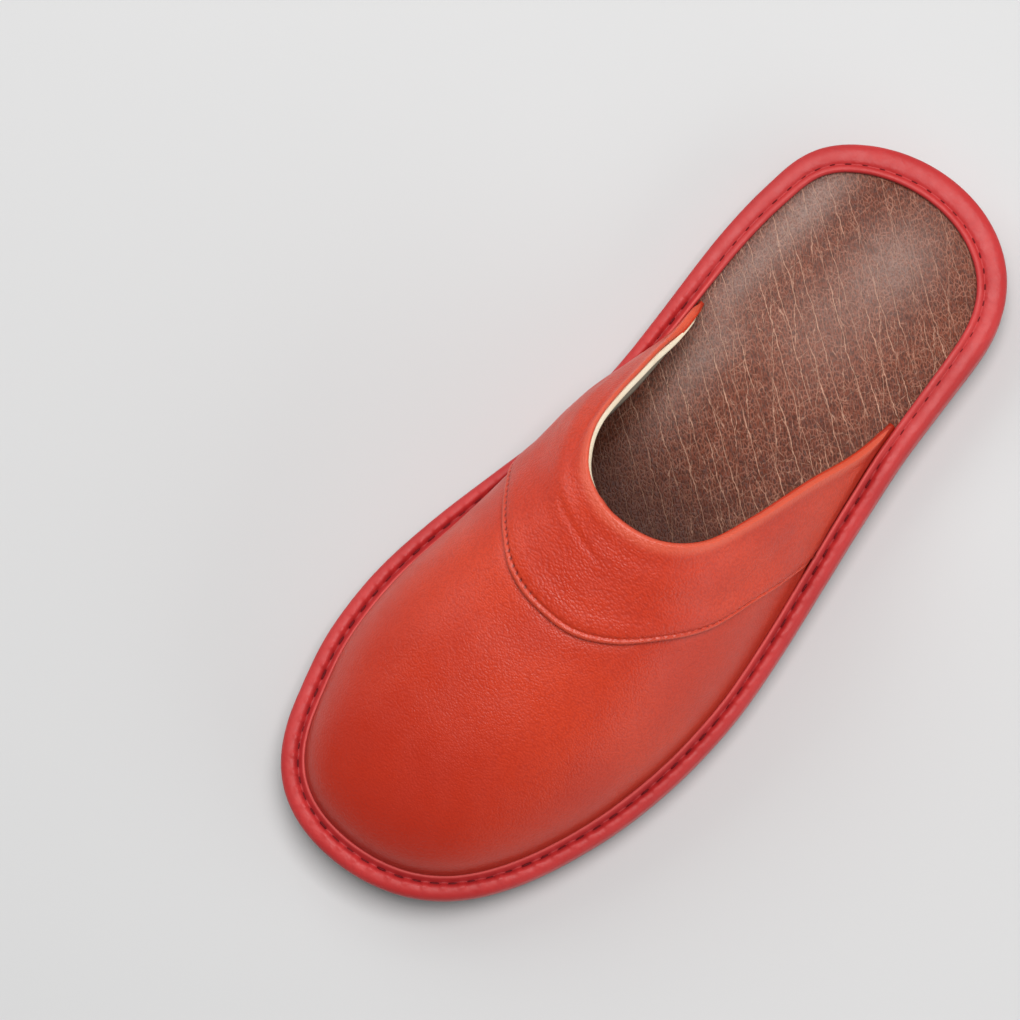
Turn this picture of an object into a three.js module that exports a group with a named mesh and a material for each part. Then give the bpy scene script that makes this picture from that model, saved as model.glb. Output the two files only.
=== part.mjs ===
// A backless leather slipper for the left foot, in millimetres.
// +X points to the inner side of the foot, +Y from heel to toe, +Z up.
// The origin is on the floor below the middle of the sole.

import * as THREE from 'three';

// Driving sizes of the last and the sole
const length = 272;
const ballWidth = 107.6;
const instepHeight = 52;
const heelHeight = 12;
const foreHeight = 9;
const toeSpring = 5;
const archRecess = 1.5;

// Driving sizes of the pieces
const treadThickness = 2.8;
const treadInset = 0.8;
const edgeBevel = 0.9;
const insoleThickness = 2;
const heelSeatDepth = 0.8;
const archRise = 2.4;
const upperWall = 2;
const bandThickness = 1.2;
const randWidth = 7.4;
const randSkin = 1.4;
const rollHeight = 1.4;
const grooveDepth = 0.8;
const lipWidth = 2.4;
const lipThickness = 1.8;
const clearance = 0.3;

// Room for the facets of two curved surfaces that lie on each other
const facetRoom = 0.12;

// How finely the faceted surfaces are cut
const outlineSteps = 84;
const soleRings = 4;
const upperColumns = 60;
const upperRows = 15;
const bandColumns = 60;
const bandRows = 7;
const denseSteps = 720;

// Outline of the sole's edge: along is a share of the length, outer and inner are the widths on each side
// of the middle line as shares of the ball width. The first and last rows hold the roundness of the ends.
const outlineRows = {
  along: [0, 0.06, 0.15, 0.24, 0.33, 0.42, 0.5, 0.58, 0.67, 0.75, 0.83, 0.91, 0.97, 1],
  outer: [0.715, 0.297, 0.362, 0.392, 0.437, 0.489, 0.535, 0.57, 0.579, 0.56, 0.511, 0.422, 0.275, 0.85],
  inner: [0.765, 0.342, 0.406, 0.396, 0.366, 0.344, 0.352, 0.381, 0.411, 0.42, 0.394, 0.321, 0.217, 0.7],
};

// Middle line of the sole: how far inwards it lies at the heel and at the toe, as shares of the ball width.
const middleAtHeel = 0.098;
const middleAtToe = 0.07;

// Width of the rand outside its stitches on each side, as shares of the rand's width.
const randRows = {
  along: [0, 0.06, 0.15, 0.3, 0.45, 0.65, 0.85, 1],
  outer: [1, 0.86, 0.73, 0.66, 0.6, 0.56, 0.62, 0.74],
  inner: [1, 0.86, 0.76, 0.66, 0.52, 0.58, 0.66, 0.74],
};

// Crown of the upper: its height over the wall's foot as a share of the instep height, and how far inwards
// the ridge lies as a share of the ball width. Behind the collar the rows only guide the side walls.
const crownRows = {
  along: [0.22, 0.37, 0.44, 0.52, 0.6, 0.69, 0.77, 0.86, 1],
  height: [1.02, 1.02, 1.02, 1, 0.89, 0.77, 0.69, 0.61, 0.48],
  ridge: [0.08, 0.083, 0.083, 0.08, 0.075, 0.07, 0.07, 0.07, 0.07],
};

// Side walls of the upper. Across is the power on the width and up the power on the height of each section's
// rounded arch. Tuck is how far the wall's foot is drawn in under its widest line, a share of the ball width.
const outerWallRows = {
  along: [0.22, 0.3, 0.35, 0.4, 0.46, 0.54, 0.62, 0.69, 0.85, 1],
  across: [1.3, 1.4, 1.5, 1.6, 1.8, 2.05, 2.2, 2.3, 2.5, 2.8],
  up: [1.05, 1.15, 1.2, 1.3, 1.45, 1.65, 1.8, 1.9, 1.95, 2],
  tuck: [0, 0, 0.002, 0.005, 0.01, 0.014, 0.016, 0.016, 0.016, 0.016],
};
const innerWallRows = {
  along: [0.22, 0.3, 0.35, 0.4, 0.46, 0.54, 0.62, 0.69, 0.85, 1],
  across: [1.3, 1.5, 1.6, 1.55, 1.6, 1.85, 2.15, 2.3, 2.5, 2.8],
  up: [1, 1.05, 1.2, 1.9, 2.75, 2.35, 2, 1.9, 1.95, 2],
  tuck: [0.007, 0.021, 0.033, 0.047, 0.058, 0.045, 0.024, 0.016, 0.016, 0.016],
};
const tuckTop = 0.45;
const widestAlong = 0.69;

// Collar and overlay seam: along is a share of the length, turn is how far round the section they lie, from -1
// just above the rand's lip on the outer wall through 0 on the ridge to 1 just above the lip on the inner wall.
const collarRows = {
  along: [0.24, 0.29, 0.345, 0.43, 0.485, 0.52, 0.532, 0.53, 0.508, 0.47, 0.428, 0.382, 0.34, 0.308, 0.29],
  turn: [-1, -0.845, -0.667, -0.468, -0.33, -0.165, 0, 0.12, 0.35, 0.5, 0.572, 0.652, 0.76, 0.865, 1],
};
const seamRows = {
  along: [0.405, 0.443, 0.482, 0.543, 0.589, 0.629, 0.652, 0.657, 0.65, 0.627, 0.59, 0.566, 0.535],
  turn: [-1, -0.82, -0.69, -0.54, -0.39, -0.25, -0.12, 0, 0.16, 0.35, 0.61, 0.8, 1],
};
const collarRidgeRow = 6;

// A smooth curve through the values of one column, read at a place along the rows.
function read(along, values, place) {
  const last = along.length - 1;
  let i = 0;
  while (i < last - 1 && place >= along[i + 1]) {
    i += 1;
  }
  const span = along[i + 1] - along[i];
  const t = Math.min(Math.max((place - along[i]) / span, 0), 1);
  const from = slopeAt(along, values, i) * span;
  const to = slopeAt(along, values, i + 1) * span;
  const rise = values[i + 1] - values[i];
  return values[i] + t * from + t * t * (3 * rise - 2 * from - to) + t * t * t * (from + to - 2 * rise);
}

function slopeAt(along, values, i) {
  const last = along.length - 1;
  if (i === 0) {
    return (values[1] - values[0]) / (along[1] - along[0]);
  }
  if (i === last) {
    return (values[last] - values[last - 1]) / (along[last] - along[last - 1]);
  }
  const before = along[i] - along[i - 1];
  const after = along[i + 1] - along[i];
  const back = (values[i] - values[i - 1]) / before;
  const ahead = (values[i + 1] - values[i]) / after;
  return (back * after + ahead * before) / (before + after);
}

function ease(value) {
  const t = Math.min(Math.max(value, 0), 1);
  return t * t * (3 - 2 * t);
}

// Outline of the sole
function roundEnds(along) {
  return 2 * Math.sqrt(Math.max(along * (1 - along), 0));
}

function fullness(widths) {
  const last = widths.length - 1;
  return widths.map((w, i) => (i === 0 || i === last ? w : w / roundEnds(outlineRows.along[i])));
}

const fullnessOuter = fullness(outlineRows.outer);
const fullnessInner = fullness(outlineRows.inner);

function middleX(along) {
  return ballWidth * (middleAtHeel + (middleAtToe - middleAtHeel) * along);
}

// The outline runs from the heel up the outer side to the toe and back down the inner side.
function outlinePoint(angle) {
  const along = (1 - Math.cos(angle)) / 2;
  const outerSide = Math.sin(angle) >= 0;
  const full = read(outlineRows.along, outerSide ? fullnessOuter : fullnessInner, along);
  const halfWidth = ballWidth * full * roundEnds(along);
  return new THREE.Vector2(middleX(along) + (outerSide ? -halfWidth : halfWidth), along * length);
}

// Stations of the outline, each with its outward direction and the rand's width outside the stitches.
function outlineStations(count) {
  const step = (2 * Math.PI) / count;
  return Array.from({ length: count }, (_, i) => {
    const angle = i * step;
    const point = outlinePoint(angle);
    const across = outlinePoint(angle + step).sub(outlinePoint(angle - step));
    const outward = new THREE.Vector2(-across.y, across.x).normalize();
    const along = point.y / length;
    const outerSide = Math.sin(angle) >= 0;
    const reach = randWidth * read(randRows.along, outerSide ? randRows.outer : randRows.inner, along);
    return { along, point, outward, reach, outerSide };
  });
}

function inset(station, distance) {
  return station.point.clone().addScaledVector(station.outward, -distance);
}

// Heights of the sole
const springStart = 0.76;
const wedgeStart = 0.25;
const wedgeEnd = 0.6;
const archStart = 0.31;
const archEnd = 0.55;

function springAt(y) {
  const t = Math.max((y / length - springStart) / (1 - springStart), 0);
  return toeSpring * t * t;
}

function recessAt(y) {
  const t = (y / length - archStart) / (archEnd - archStart);
  return t > 0 && t < 1 ? archRecess * ease(2 * Math.min(t, 1 - t)) : 0;
}

function platformAt(y) {
  const wedge = ease((y / length - wedgeStart) / (wedgeEnd - wedgeStart));
  return heelHeight + (foreHeight - heelHeight) * wedge + springAt(y);
}

const insoleTop = clearance + insoleThickness;
const lipUnderside = insoleTop + clearance;
const upperFoot = lipUnderside;
const upperInset = lipWidth + clearance;

// Faceted solids
function solidFrom(positions, triangles) {
  const geometry = new THREE.BufferGeometry();
  geometry.setAttribute('position', new THREE.Float32BufferAttribute(positions, 3));
  geometry.setIndex(triangles);
  const flat = geometry.toNonIndexed();
  flat.computeVertexNormals();
  return flat;
}

// Joins a grid of points, given as rows of Vector3, into one closed body. Points that fall together are merged,
// so a row may shrink to a line or a point.
function closedGrid(rows, { closeRows = false } = {}) {
  const keyOf = (p) => `${p.x.toFixed(3)},${p.y.toFixed(3)},${p.z.toFixed(3)}`;
  const known = new Map();
  const positions = [];
  const numberOf = (p) => {
    const key = keyOf(p);
    if (!known.has(key)) {
      known.set(key, known.size);
      positions.push(p.x, p.y, p.z);
    }
    return known.get(key);
  };
  const numbered = rows.map((row) => row.map(numberOf));
  const triangles = [];
  const add = (a, b, c) => {
    if (a !== b && b !== c && c !== a) {
      triangles.push(a, b, c);
    }
  };
  const rowCount = closeRows ? rows.length : rows.length - 1;
  for (let j = 0; j < rowCount; j += 1) {
    const low = numbered[j];
    const high = numbered[(j + 1) % rows.length];
    for (let i = 0; i < low.length; i += 1) {
      const next = (i + 1) % low.length;
      add(low[i], high[i], high[next]);
      add(low[i], high[next], low[next]);
    }
  }
  return solidFrom(positions, triangles);
}

// A sheet with thickness: two like grids of points, joined round their four edges.
function thickSheet(outside, inside) {
  const columns = outside.length - 1;
  const rows = outside[0].length - 1;
  const size = (columns + 1) * (rows + 1);
  const positions = [];
  for (const sheet of [outside, inside]) {
    for (const column of sheet) {
      for (const p of column) {
        positions.push(p.x, p.y, p.z);
      }
    }
  }
  const at = (i, j) => i * (rows + 1) + j;
  const triangles = [];
  const quad = (a, b, c, d) => triangles.push(a, b, c, a, c, d);
  for (let i = 0; i < columns; i += 1) {
    for (let j = 0; j < rows; j += 1) {
      quad(at(i, j), at(i, j + 1), at(i + 1, j + 1), at(i + 1, j));
      quad(size + at(i, j), size + at(i + 1, j), size + at(i + 1, j + 1), size + at(i, j + 1));
    }
  }
  const rim = [];
  for (let i = 0; i < columns; i += 1) {
    rim.push(at(i, 0));
  }
  for (let j = 0; j < rows; j += 1) {
    rim.push(at(columns, j));
  }
  for (let i = columns; i > 0; i -= 1) {
    rim.push(at(i, rows));
  }
  for (let j = rows; j > 0; j -= 1) {
    rim.push(at(0, j));
  }
  rim.forEach((a, k) => {
    const b = rim[(k + 1) % rim.length];
    quad(a, b, size + b, size + a);
  });
  return solidFrom(positions, triangles);
}

// Shrinks a ring of stations onto the middle line of the sole, which stops short of the two ends.
const middleFrom = 0.14;
const middleTo = 0.84;

function shrink(station, distance, share) {
  const edge = inset(station, distance);
  const along = Math.min(Math.max(station.along, middleFrom), middleTo);
  const middle = new THREE.Vector2(middleX(along), along * length);
  return edge.lerp(middle, share);
}

function ring(stations, distanceAt, heightAt, share = 0) {
  return stations.map((station) => {
    const p = shrink(station, distanceAt(station), share);
    return new THREE.Vector3(p.x, p.y, heightAt(p, station));
  });
}

// Outsole: a tread plate under a platform that carries the footbed.
function outsole() {
  const stations = outlineStations(outlineSteps);
  const underside = (p) => springAt(p.y) + recessAt(p.y);
  const plateEdge = () => treadInset;
  const bevelEdge = () => treadInset + edgeBevel;
  const platformEdge = () => randSkin + clearance;
  const shares = Array.from({ length: soleRings }, (_, i) => (i + 1) / soleRings);
  const rows = [];
  for (const share of [...shares].reverse()) {
    rows.push(ring(stations, bevelEdge, underside, share));
  }
  rows.push(ring(stations, bevelEdge, underside));
  rows.push(ring(stations, plateEdge, (p) => Math.max(underside(p), springAt(p.y) + edgeBevel)));
  rows.push(ring(stations, plateEdge, (p) => springAt(p.y) + treadThickness));
  rows.push(ring(stations, platformEdge, (p) => springAt(p.y) + treadThickness));
  rows.push(ring(stations, platformEdge, (p) => platformAt(p.y)));
  for (const share of shares) {
    rows.push(ring(stations, platformEdge, (p) => platformAt(p.y), share));
  }
  return closedGrid(rows);
}

// Insole: a sock of even thickness, hollowed under the heel and raised under the inner arch.
const heelSeatAt = 0.15;
const heelSeatRadius = 0.13;
const archAt = 0.4;
const archRadius = 0.14;
const archAcross = 0.3;
const archSpread = 0.22;

function contourAt(p, share) {
  const along = p.y / length;
  const across = (p.x - middleX(along)) / ballWidth;
  const heel = Math.exp(-(((along - heelSeatAt) / heelSeatRadius) ** 2));
  const arch = Math.exp(-(((along - archAt) / archRadius) ** 2) - ((across - archAcross) / archSpread) ** 2);
  const inside = ease(share * 3);
  return inside * (archRise * arch - heelSeatDepth * heel);
}

function insole() {
  const stations = outlineStations(outlineSteps);
  const edge = (station) => station.reach - clearance;
  const lipEdge = (station) => station.reach + upperInset + upperWall;
  const under = (p) => platformAt(p.y) + clearance;
  const shares = Array.from({ length: soleRings }, (_, i) => (i + 1) / soleRings);
  const rows = [];
  for (const share of [...shares].reverse()) {
    rows.push(ring(stations, lipEdge, under, share));
  }
  rows.push(ring(stations, edge, under));
  rows.push(ring(stations, edge, (p) => platformAt(p.y) + insoleTop));
  rows.push(ring(stations, lipEdge, (p) => platformAt(p.y) + insoleTop));
  for (const share of shares) {
    rows.push(ring(stations, lipEdge, (p) => platformAt(p.y) + insoleTop + contourAt(p, share), share));
  }
  return closedGrid(rows);
}

// Rand: the section goes from its foot on the tread plate up the outer face, over the roll, down into the
// stitch groove, over the lip and back along the insole's edge. Out is measured outwards from the stitches.
function randSection(station) {
  const { reach } = station;
  const y = station.point.y;
  const foot = springAt(y) + treadThickness + clearance;
  const deck = platformAt(y);
  const rollTop = deck + lipUnderside + rollHeight;
  const groove = rollTop - grooveDepth;
  const lipTop = deck + lipUnderside + lipThickness;
  return [
    { out: reach - randSkin, z: foot },
    { out: reach - 0.3 * randSkin, z: foot },
    { out: reach, z: foot + 0.4 * (deck - foot) },
    { out: reach, z: deck },
    { out: reach - 0.12 * randWidth, z: deck + lipUnderside },
    { out: 0.5 * reach, z: rollTop },
    { out: 0.15 * randWidth, z: rollTop - 0.4 * grooveDepth },
    { out: 0, z: groove },
    { out: -0.3 * lipWidth, z: lipTop - 0.1 * lipThickness },
    { out: -0.65 * lipWidth, z: lipTop },
    { out: -lipWidth, z: lipTop - 0.5 * lipThickness },
    { out: -0.95 * lipWidth, z: deck + lipUnderside },
    { out: 2 * clearance, z: deck + lipUnderside },
    { out: 2 * clearance, z: deck + clearance },
    { out: reach - randSkin, z: deck + clearance },
  ];
}

function rand() {
  const stations = outlineStations(outlineSteps);
  const sections = stations.map((station) => randSection(station).map(({ out, z }) => {
    const p = inset(station, station.reach - out);
    return new THREE.Vector3(p.x, p.y, z);
  }));
  const rows = sections[0].map((_, k) => sections.map((section) => section[k]));
  return closedGrid(rows, { closeRows: true });
}

// Form of the upper. The wall's foot follows the outline inside the rand's lip.
// Where the wall leans out over the lip, its foot stands further in by the lean at the lip's height.
const leanAtLip = (2 * lipThickness) / (tuckTop * instepHeight);

function leanRoom(station) {
  const rows = station.outerSide ? outerWallRows : innerWallRows;
  return leanAtLip * ballWidth * read(rows.along, rows.tuck, Math.max(station.along, rows.along[0]));
}

const footLine = outlineStations(denseSteps)
  .map((station) => inset(station, station.reach + upperInset + leanRoom(station)));
const halfSteps = denseSteps / 2;
const outerFoot = footLine.slice(0, halfSteps + 1);
const innerFoot = [footLine[0], ...footLine.slice(halfSteps).reverse()];

function footX(line, y) {
  let i = 1;
  while (i < line.length - 1 && line[i].y < y) {
    i += 1;
  }
  const a = line[i - 1];
  const b = line[i];
  const t = Math.min(Math.max((y - a.y) / (b.y - a.y), 0), 1);
  return a.x + (b.x - a.x) * t;
}

function ridgeX(y) {
  return ballWidth * read(crownRows.along, crownRows.ridge, Math.max(y / length, crownRows.along[0]));
}

const widest = new THREE.Vector2(ridgeX(widestAlong * length), widestAlong * length);

// The toe's sections fan out round the widest place. Each dense foot point there has its angle from straight
// ahead, from the outer side at -90 degrees to the inner side at 90 degrees.
const toeFan = footLine
  .map((p) => ({ angle: Math.atan2(p.x - widest.x, p.y - widest.y), radius: p.distanceTo(widest) }))
  .filter((spoke) => Math.abs(spoke.angle) < 0.6 * Math.PI)
  .sort((a, b) => a.angle - b.angle);

function toeRadius(angle) {
  let i = 1;
  while (i < toeFan.length - 1 && toeFan[i].angle < angle) {
    i += 1;
  }
  const a = toeFan[i - 1];
  const b = toeFan[i];
  return a.radius + ((b.radius - a.radius) * (angle - a.angle)) / (b.angle - a.angle);
}

function wallRows(x, y) {
  return x < ridgeX(y) ? outerWallRows : innerWallRows;
}

// Polar place of a plan point: the share of the way from the ridge to the widest line, the direction outwards
// and the place along the wall rows.
function sectionAt(x, y) {
  const rows = wallRows(x, y);
  if (y <= widest.y) {
    const ridge = ridgeX(y);
    const along = Math.max(y / length, rows.along[0]);
    const tuck = ballWidth * read(rows.along, rows.tuck, along);
    const sign = x < ridge ? -1 : 1;
    const radius = Math.abs(footX(x < ridge ? outerFoot : innerFoot, y) - ridge) + tuck;
    return { rows, along, tuck, radius, share: Math.abs(x - ridge) / radius, dx: sign, dy: 0 };
  }
  const dx = x - widest.x;
  const dy = y - widest.y;
  const distance = Math.hypot(dx, dy);
  const angle = Math.atan2(dx, dy);
  const along = widestAlong + (1 - widestAlong) * ease(1 - Math.abs(angle) / (Math.PI / 2));
  const tuck = ballWidth * read(rows.along, rows.tuck, along);
  const radius = toeRadius(angle) + tuck;
  return { rows, along, tuck, radius, share: distance / radius, dx: dx / distance, dy: dy / distance };
}

// A point on the upper's outer face over a plan point of the widest line's frame.
function faceAt(x, y) {
  const { rows, along, tuck, share, dx, dy } = sectionAt(x, y);
  const across = read(rows.along, rows.across, along);
  const up = read(rows.along, rows.up, along);
  const height = Math.max(1 - Math.min(share, 1) ** across, 0) ** (1 / up);
  const drawn = tuck * Math.max(1 - height / tuckTop, 0) ** 2;
  const crown = read(crownRows.along, crownRows.height, Math.min(Math.max(y / length, crownRows.along[0]), 1));
  const px = x - dx * drawn;
  const py = y - dy * drawn;
  return new THREE.Vector3(px, py, platformAt(py) + upperFoot + instepHeight * crown * height);
}

const probe = 0.25;

function faceNormal(x, y) {
  const { share, radius, dx, dy } = sectionAt(x, y);
  const out = share + probe / radius < 1 ? probe : 0;
  const across = faceAt(x + dx * out, y + dy * out).sub(faceAt(x - dx * probe, y - dy * probe));
  const side = faceAt(x - dy * probe - dx * probe, y + dx * probe - dy * probe)
    .sub(faceAt(x + dy * probe - dx * probe, y - dx * probe - dy * probe));
  return across.cross(side).normalize();
}

// The plan point at a place along the length and a turn round the section. Turns of -1 and 1 lie just above
// the rand's lip.
function planOf(along, turn) {
  const rows = turn < 0 ? outerWallRows : innerWallRows;
  const across = read(rows.along, rows.across, along);
  const up = read(rows.along, rows.up, along);
  const lowest = ((lipThickness + clearance) / instepHeight) ** (up / 2);
  const angle = Math.abs(turn) * Math.acos(lowest);
  const sign = turn < 0 ? -1 : 1;
  const y = along * length;
  const ridge = ridgeX(y);
  const { radius } = sectionAt(ridge + sign, y);
  return new THREE.Vector2(ridge + sign * Math.sin(angle) ** (2 / across) * radius, y);
}

// Turns are written as millimetres of the ball width, so that both ways along the curve count alike.
function turnCurve(rows) {
  const points = rows.along.map((along, i) => new THREE.Vector3(along * length, rows.turn[i] * ballWidth, 0));
  return new THREE.CatmullRomCurve3(points, false, 'centripetal');
}

function planAt(place) {
  return planOf(place.x / length, place.y / ballWidth);
}

const collarCurve = turnCurve(collarRows);
const seamCurve = turnCurve(seamRows);

// Columns of the upper: the foot line from the collar's outer end round the toe to its inner end.
function widestLine() {
  const from = collarRows.along[0] * length;
  const to = collarRows.along[collarRows.along.length - 1] * length;
  const outerPart = outerFoot.filter((p) => p.y > from);
  const innerPart = [...innerFoot].reverse().filter((p) => p.y > to);
  const foot = [new THREE.Vector2(footX(outerFoot, from), from), ...outerPart, ...innerPart.slice(1)];
  foot.push(new THREE.Vector2(footX(innerFoot, to), to));
  const line = foot.map((p) => {
    const { tuck, dx, dy } = sectionAt(p.x, p.y);
    return new THREE.Vector2(p.x + dx * tuck, p.y + dy * tuck);
  });
  const lengths = [0];
  for (let i = 1; i < line.length; i += 1) {
    lengths.push(lengths[i - 1] + line[i].distanceTo(line[i - 1]));
  }
  const toe = lengths[line.indexOf(line.reduce((far, p) => (p.y > far.y ? p : far)))];
  return { line, lengths, toe };
}

function pointAlong({ line, lengths }, distance) {
  let i = 1;
  while (i < line.length - 1 && lengths[i] < distance) {
    i += 1;
  }
  const t = (distance - lengths[i - 1]) / (lengths[i] - lengths[i - 1]);
  return line[i - 1].clone().lerp(line[i], t);
}

// The fan is even at the toe and gathers speed to the rear, so that the sections stay nearly square to the
// middle line beside the collar.
const fanEven = 0.35;
const fanPower = 3.3;

function fanShare(share) {
  return fanEven * share + (1 - fanEven) * share ** fanPower;
}

function upperColumnEnds(count) {
  const widestCurve = widestLine();
  const total = widestCurve.lengths[widestCurve.lengths.length - 1];
  const ridgeShare = collarRidgeRow / (collarRows.along.length - 1);
  const collarLength = collarCurve.getLength();
  const toRidge = collarCurve.getLengths(denseSteps)[Math.round(ridgeShare * denseSteps)] / collarLength;
  return Array.from({ length: count + 1 }, (_, i) => {
    const distance = (total * i) / count;
    const foot = pointAlong(widestCurve, distance);
    const outerSide = distance <= widestCurve.toe;
    const back = outerSide
      ? (widestCurve.toe - distance) / widestCurve.toe
      : (distance - widestCurve.toe) / (total - widestCurve.toe);
    const share = outerSide ? toRidge * (1 - fanShare(back)) : toRidge + (1 - toRidge) * fanShare(back);
    const place = collarCurve.getPointAt(Math.min(Math.max(share, 0), 1));
    return { foot, collar: planAt(place) };
  });
}

// The inner face lies one wall inside the outer one and stands level with it at the foot.
function upper() {
  const outside = [];
  const inside = [];
  for (const { foot, collar } of upperColumnEnds(upperColumns)) {
    const outer = [];
    const inner = [];
    for (let j = 0; j <= upperRows; j += 1) {
      const share = 1 - Math.cos((j / upperRows) * (Math.PI / 2));
      const plan = foot.clone().lerp(collar, share);
      const p = faceAt(plan.x, plan.y);
      const q = p.clone().addScaledVector(faceNormal(plan.x, plan.y), -upperWall);
      if (j === 0) {
        const { dx, dy } = sectionAt(plan.x, plan.y);
        q.set(p.x - dx * upperWall, p.y - dy * upperWall, p.z);
      }
      q.z = Math.max(q.z, platformAt(q.y) + upperFoot);
      outer.push(p);
      inner.push(q);
    }
    outside.push(outer);
    inside.push(inner);
  }
  return thickSheet(outside, inside);
}

// Overlay over the instep, from the collar to the seam, lying on the upper's outer face. Its lower edges stop
// just above the rand's lip.
function aboveLip(p) {
  p.z = Math.max(p.z, platformAt(p.y) + lipUnderside + lipThickness + clearance);
  return p;
}

function instepBand() {
  const outside = [];
  const inside = [];
  for (let i = 0; i <= bandColumns; i += 1) {
    const rear = collarCurve.getPointAt(i / bandColumns);
    const front = seamCurve.getPointAt(i / bandColumns);
    const outer = [];
    const inner = [];
    for (let j = 0; j <= bandRows; j += 1) {
      const plan = planAt(front.clone().lerp(rear, j / bandRows));
      const p = faceAt(plan.x, plan.y);
      const normal = faceNormal(plan.x, plan.y);
      const lift = clearance + facetRoom;
      outer.push(aboveLip(p.clone().addScaledVector(normal, lift + bandThickness)));
      inner.push(aboveLip(p.clone().addScaledVector(normal, lift)));
    }
    outside.push(outer);
    inside.push(inner);
  }
  return thickSheet(outside, inside);
}

// Materials
const redLeather = new THREE.MeshStandardMaterial({ color: 0xb8301f, roughness: 0.5, metalness: 0 });
const bandLeather = new THREE.MeshStandardMaterial({ color: 0xbf3322, roughness: 0.5, metalness: 0 });
const randLeather = new THREE.MeshStandardMaterial({ color: 0xc63c42, roughness: 0.45, metalness: 0 });
const brownLeather = new THREE.MeshStandardMaterial({ color: 0x74443a, roughness: 0.55, metalness: 0 });
const darkRubber = new THREE.MeshStandardMaterial({ color: 0x3a2420, roughness: 0.8, metalness: 0 });

// The modelled outline starts at the heel, so the group is moved to put the origin under its middle.
function outlineMiddle() {
  const box = new THREE.Box2().setFromPoints(outlineStations(denseSteps).map((station) => station.point));
  return box.getCenter(new THREE.Vector2());
}

const slipper = new THREE.Group();

function addPiece(name, geometry, material) {
  const mesh = new THREE.Mesh(geometry, material);
  mesh.name = name;
  slipper.add(mesh);
}

addPiece('outsole', outsole(), darkRubber);
addPiece('insole', insole(), brownLeather);
addPiece('rand', rand(), randLeather);
addPiece('upper', upper(), redLeather);
addPiece('instep_band', instepBand(), bandLeather);

const middle = outlineMiddle();
slipper.position.set(-middle.x, -middle.y, 0);

export default slipper;
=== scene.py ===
import bmesh
import bpy
import numpy as np
from mathutils import Matrix, Vector


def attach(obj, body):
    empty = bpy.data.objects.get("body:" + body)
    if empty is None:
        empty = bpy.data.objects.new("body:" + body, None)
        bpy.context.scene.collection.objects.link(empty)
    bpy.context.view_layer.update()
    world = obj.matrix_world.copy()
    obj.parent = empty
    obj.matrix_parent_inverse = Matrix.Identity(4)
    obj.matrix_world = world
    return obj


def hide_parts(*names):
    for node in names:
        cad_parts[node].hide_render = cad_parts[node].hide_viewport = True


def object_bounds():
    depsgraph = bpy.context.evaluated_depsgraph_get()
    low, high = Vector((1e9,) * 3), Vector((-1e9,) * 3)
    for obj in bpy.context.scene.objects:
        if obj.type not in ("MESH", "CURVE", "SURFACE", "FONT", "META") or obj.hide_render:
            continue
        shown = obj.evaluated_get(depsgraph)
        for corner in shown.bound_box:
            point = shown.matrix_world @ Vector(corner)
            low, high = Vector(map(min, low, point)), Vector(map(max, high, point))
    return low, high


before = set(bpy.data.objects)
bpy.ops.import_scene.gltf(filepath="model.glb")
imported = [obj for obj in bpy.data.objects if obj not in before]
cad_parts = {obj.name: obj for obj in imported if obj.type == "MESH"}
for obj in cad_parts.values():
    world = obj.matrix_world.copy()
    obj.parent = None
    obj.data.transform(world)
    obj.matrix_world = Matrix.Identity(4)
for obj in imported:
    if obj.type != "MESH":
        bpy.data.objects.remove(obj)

CAD_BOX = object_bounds()

# A backless leather slipper for the left foot. Lengths here are in millimetres, +X to the inner side of the
# foot, +Y from heel to toe, +Z up, with y counted from the back of the heel until a mesh is made.
MM = 0.001
LENGTH = (CAD_BOX[1][1] - CAD_BOX[0][1]) / MM
BALL_WIDTH = (CAD_BOX[1][0] - CAD_BOX[0][0]) / MM
INSTEP_HEIGHT = 52.0
HEEL_HEIGHT = 12.0
FORE_HEIGHT = 9.0
TOE_SPRING = 5.0
ARCH_RECESS = 1.5

TREAD_THICKNESS = 2.8
TREAD_INSET = 0.8
EDGE_BEVEL = 0.9
INSOLE_THICKNESS = 2.0
HEEL_SEAT_DEPTH = 0.8
ARCH_RISE = 2.4
UPPER_WALL = 2.0
LEATHER = 1.05
RAND_WIDTH = 7.4
RAND_SKIN = 1.4
LIP_WIDTH = 2.4
LIP_THICKNESS = 1.8
CLEARANCE = 0.3
INSOLE_ROUNDING = 0.3

RAND_PITCH = 6.0
RAND_STITCH = 3.7
RAND_STITCH_HEEL = 3.0
RAND_THREAD = 0.33
SEAM_PITCH = 2.3
SEAM_STITCH = 1.5
SEAM_THREAD = 0.2
SEAM_INSET = 2.1

# Outline of the sole's edge: along is a share of the length, outer and inner are the widths on each side of
# the middle line as shares of the ball width. The first and last rows hold the roundness of the ends.
OUTLINE = {
    "along": [0, 0.06, 0.15, 0.24, 0.33, 0.42, 0.5, 0.58, 0.67, 0.75, 0.83, 0.91, 0.97, 1],
    "outer": [0.715, 0.297, 0.362, 0.392, 0.437, 0.489, 0.535, 0.57, 0.579, 0.56, 0.511, 0.422, 0.275, 0.85],
    "inner": [0.765, 0.342, 0.406, 0.396, 0.366, 0.344, 0.352, 0.381, 0.411, 0.42, 0.394, 0.321, 0.217, 0.7],
}
MIDDLE_AT_HEEL = 0.098
MIDDLE_AT_TOE = 0.07

# Width of the rand outside its stitches on each side, as shares of the rand's width.
RAND = {
    "along": [0, 0.06, 0.15, 0.3, 0.45, 0.65, 0.85, 1],
    "outer": [1, 0.86, 0.73, 0.66, 0.6, 0.56, 0.62, 0.74],
    "inner": [1, 0.86, 0.76, 0.66, 0.52, 0.58, 0.66, 0.74],
}

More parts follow.
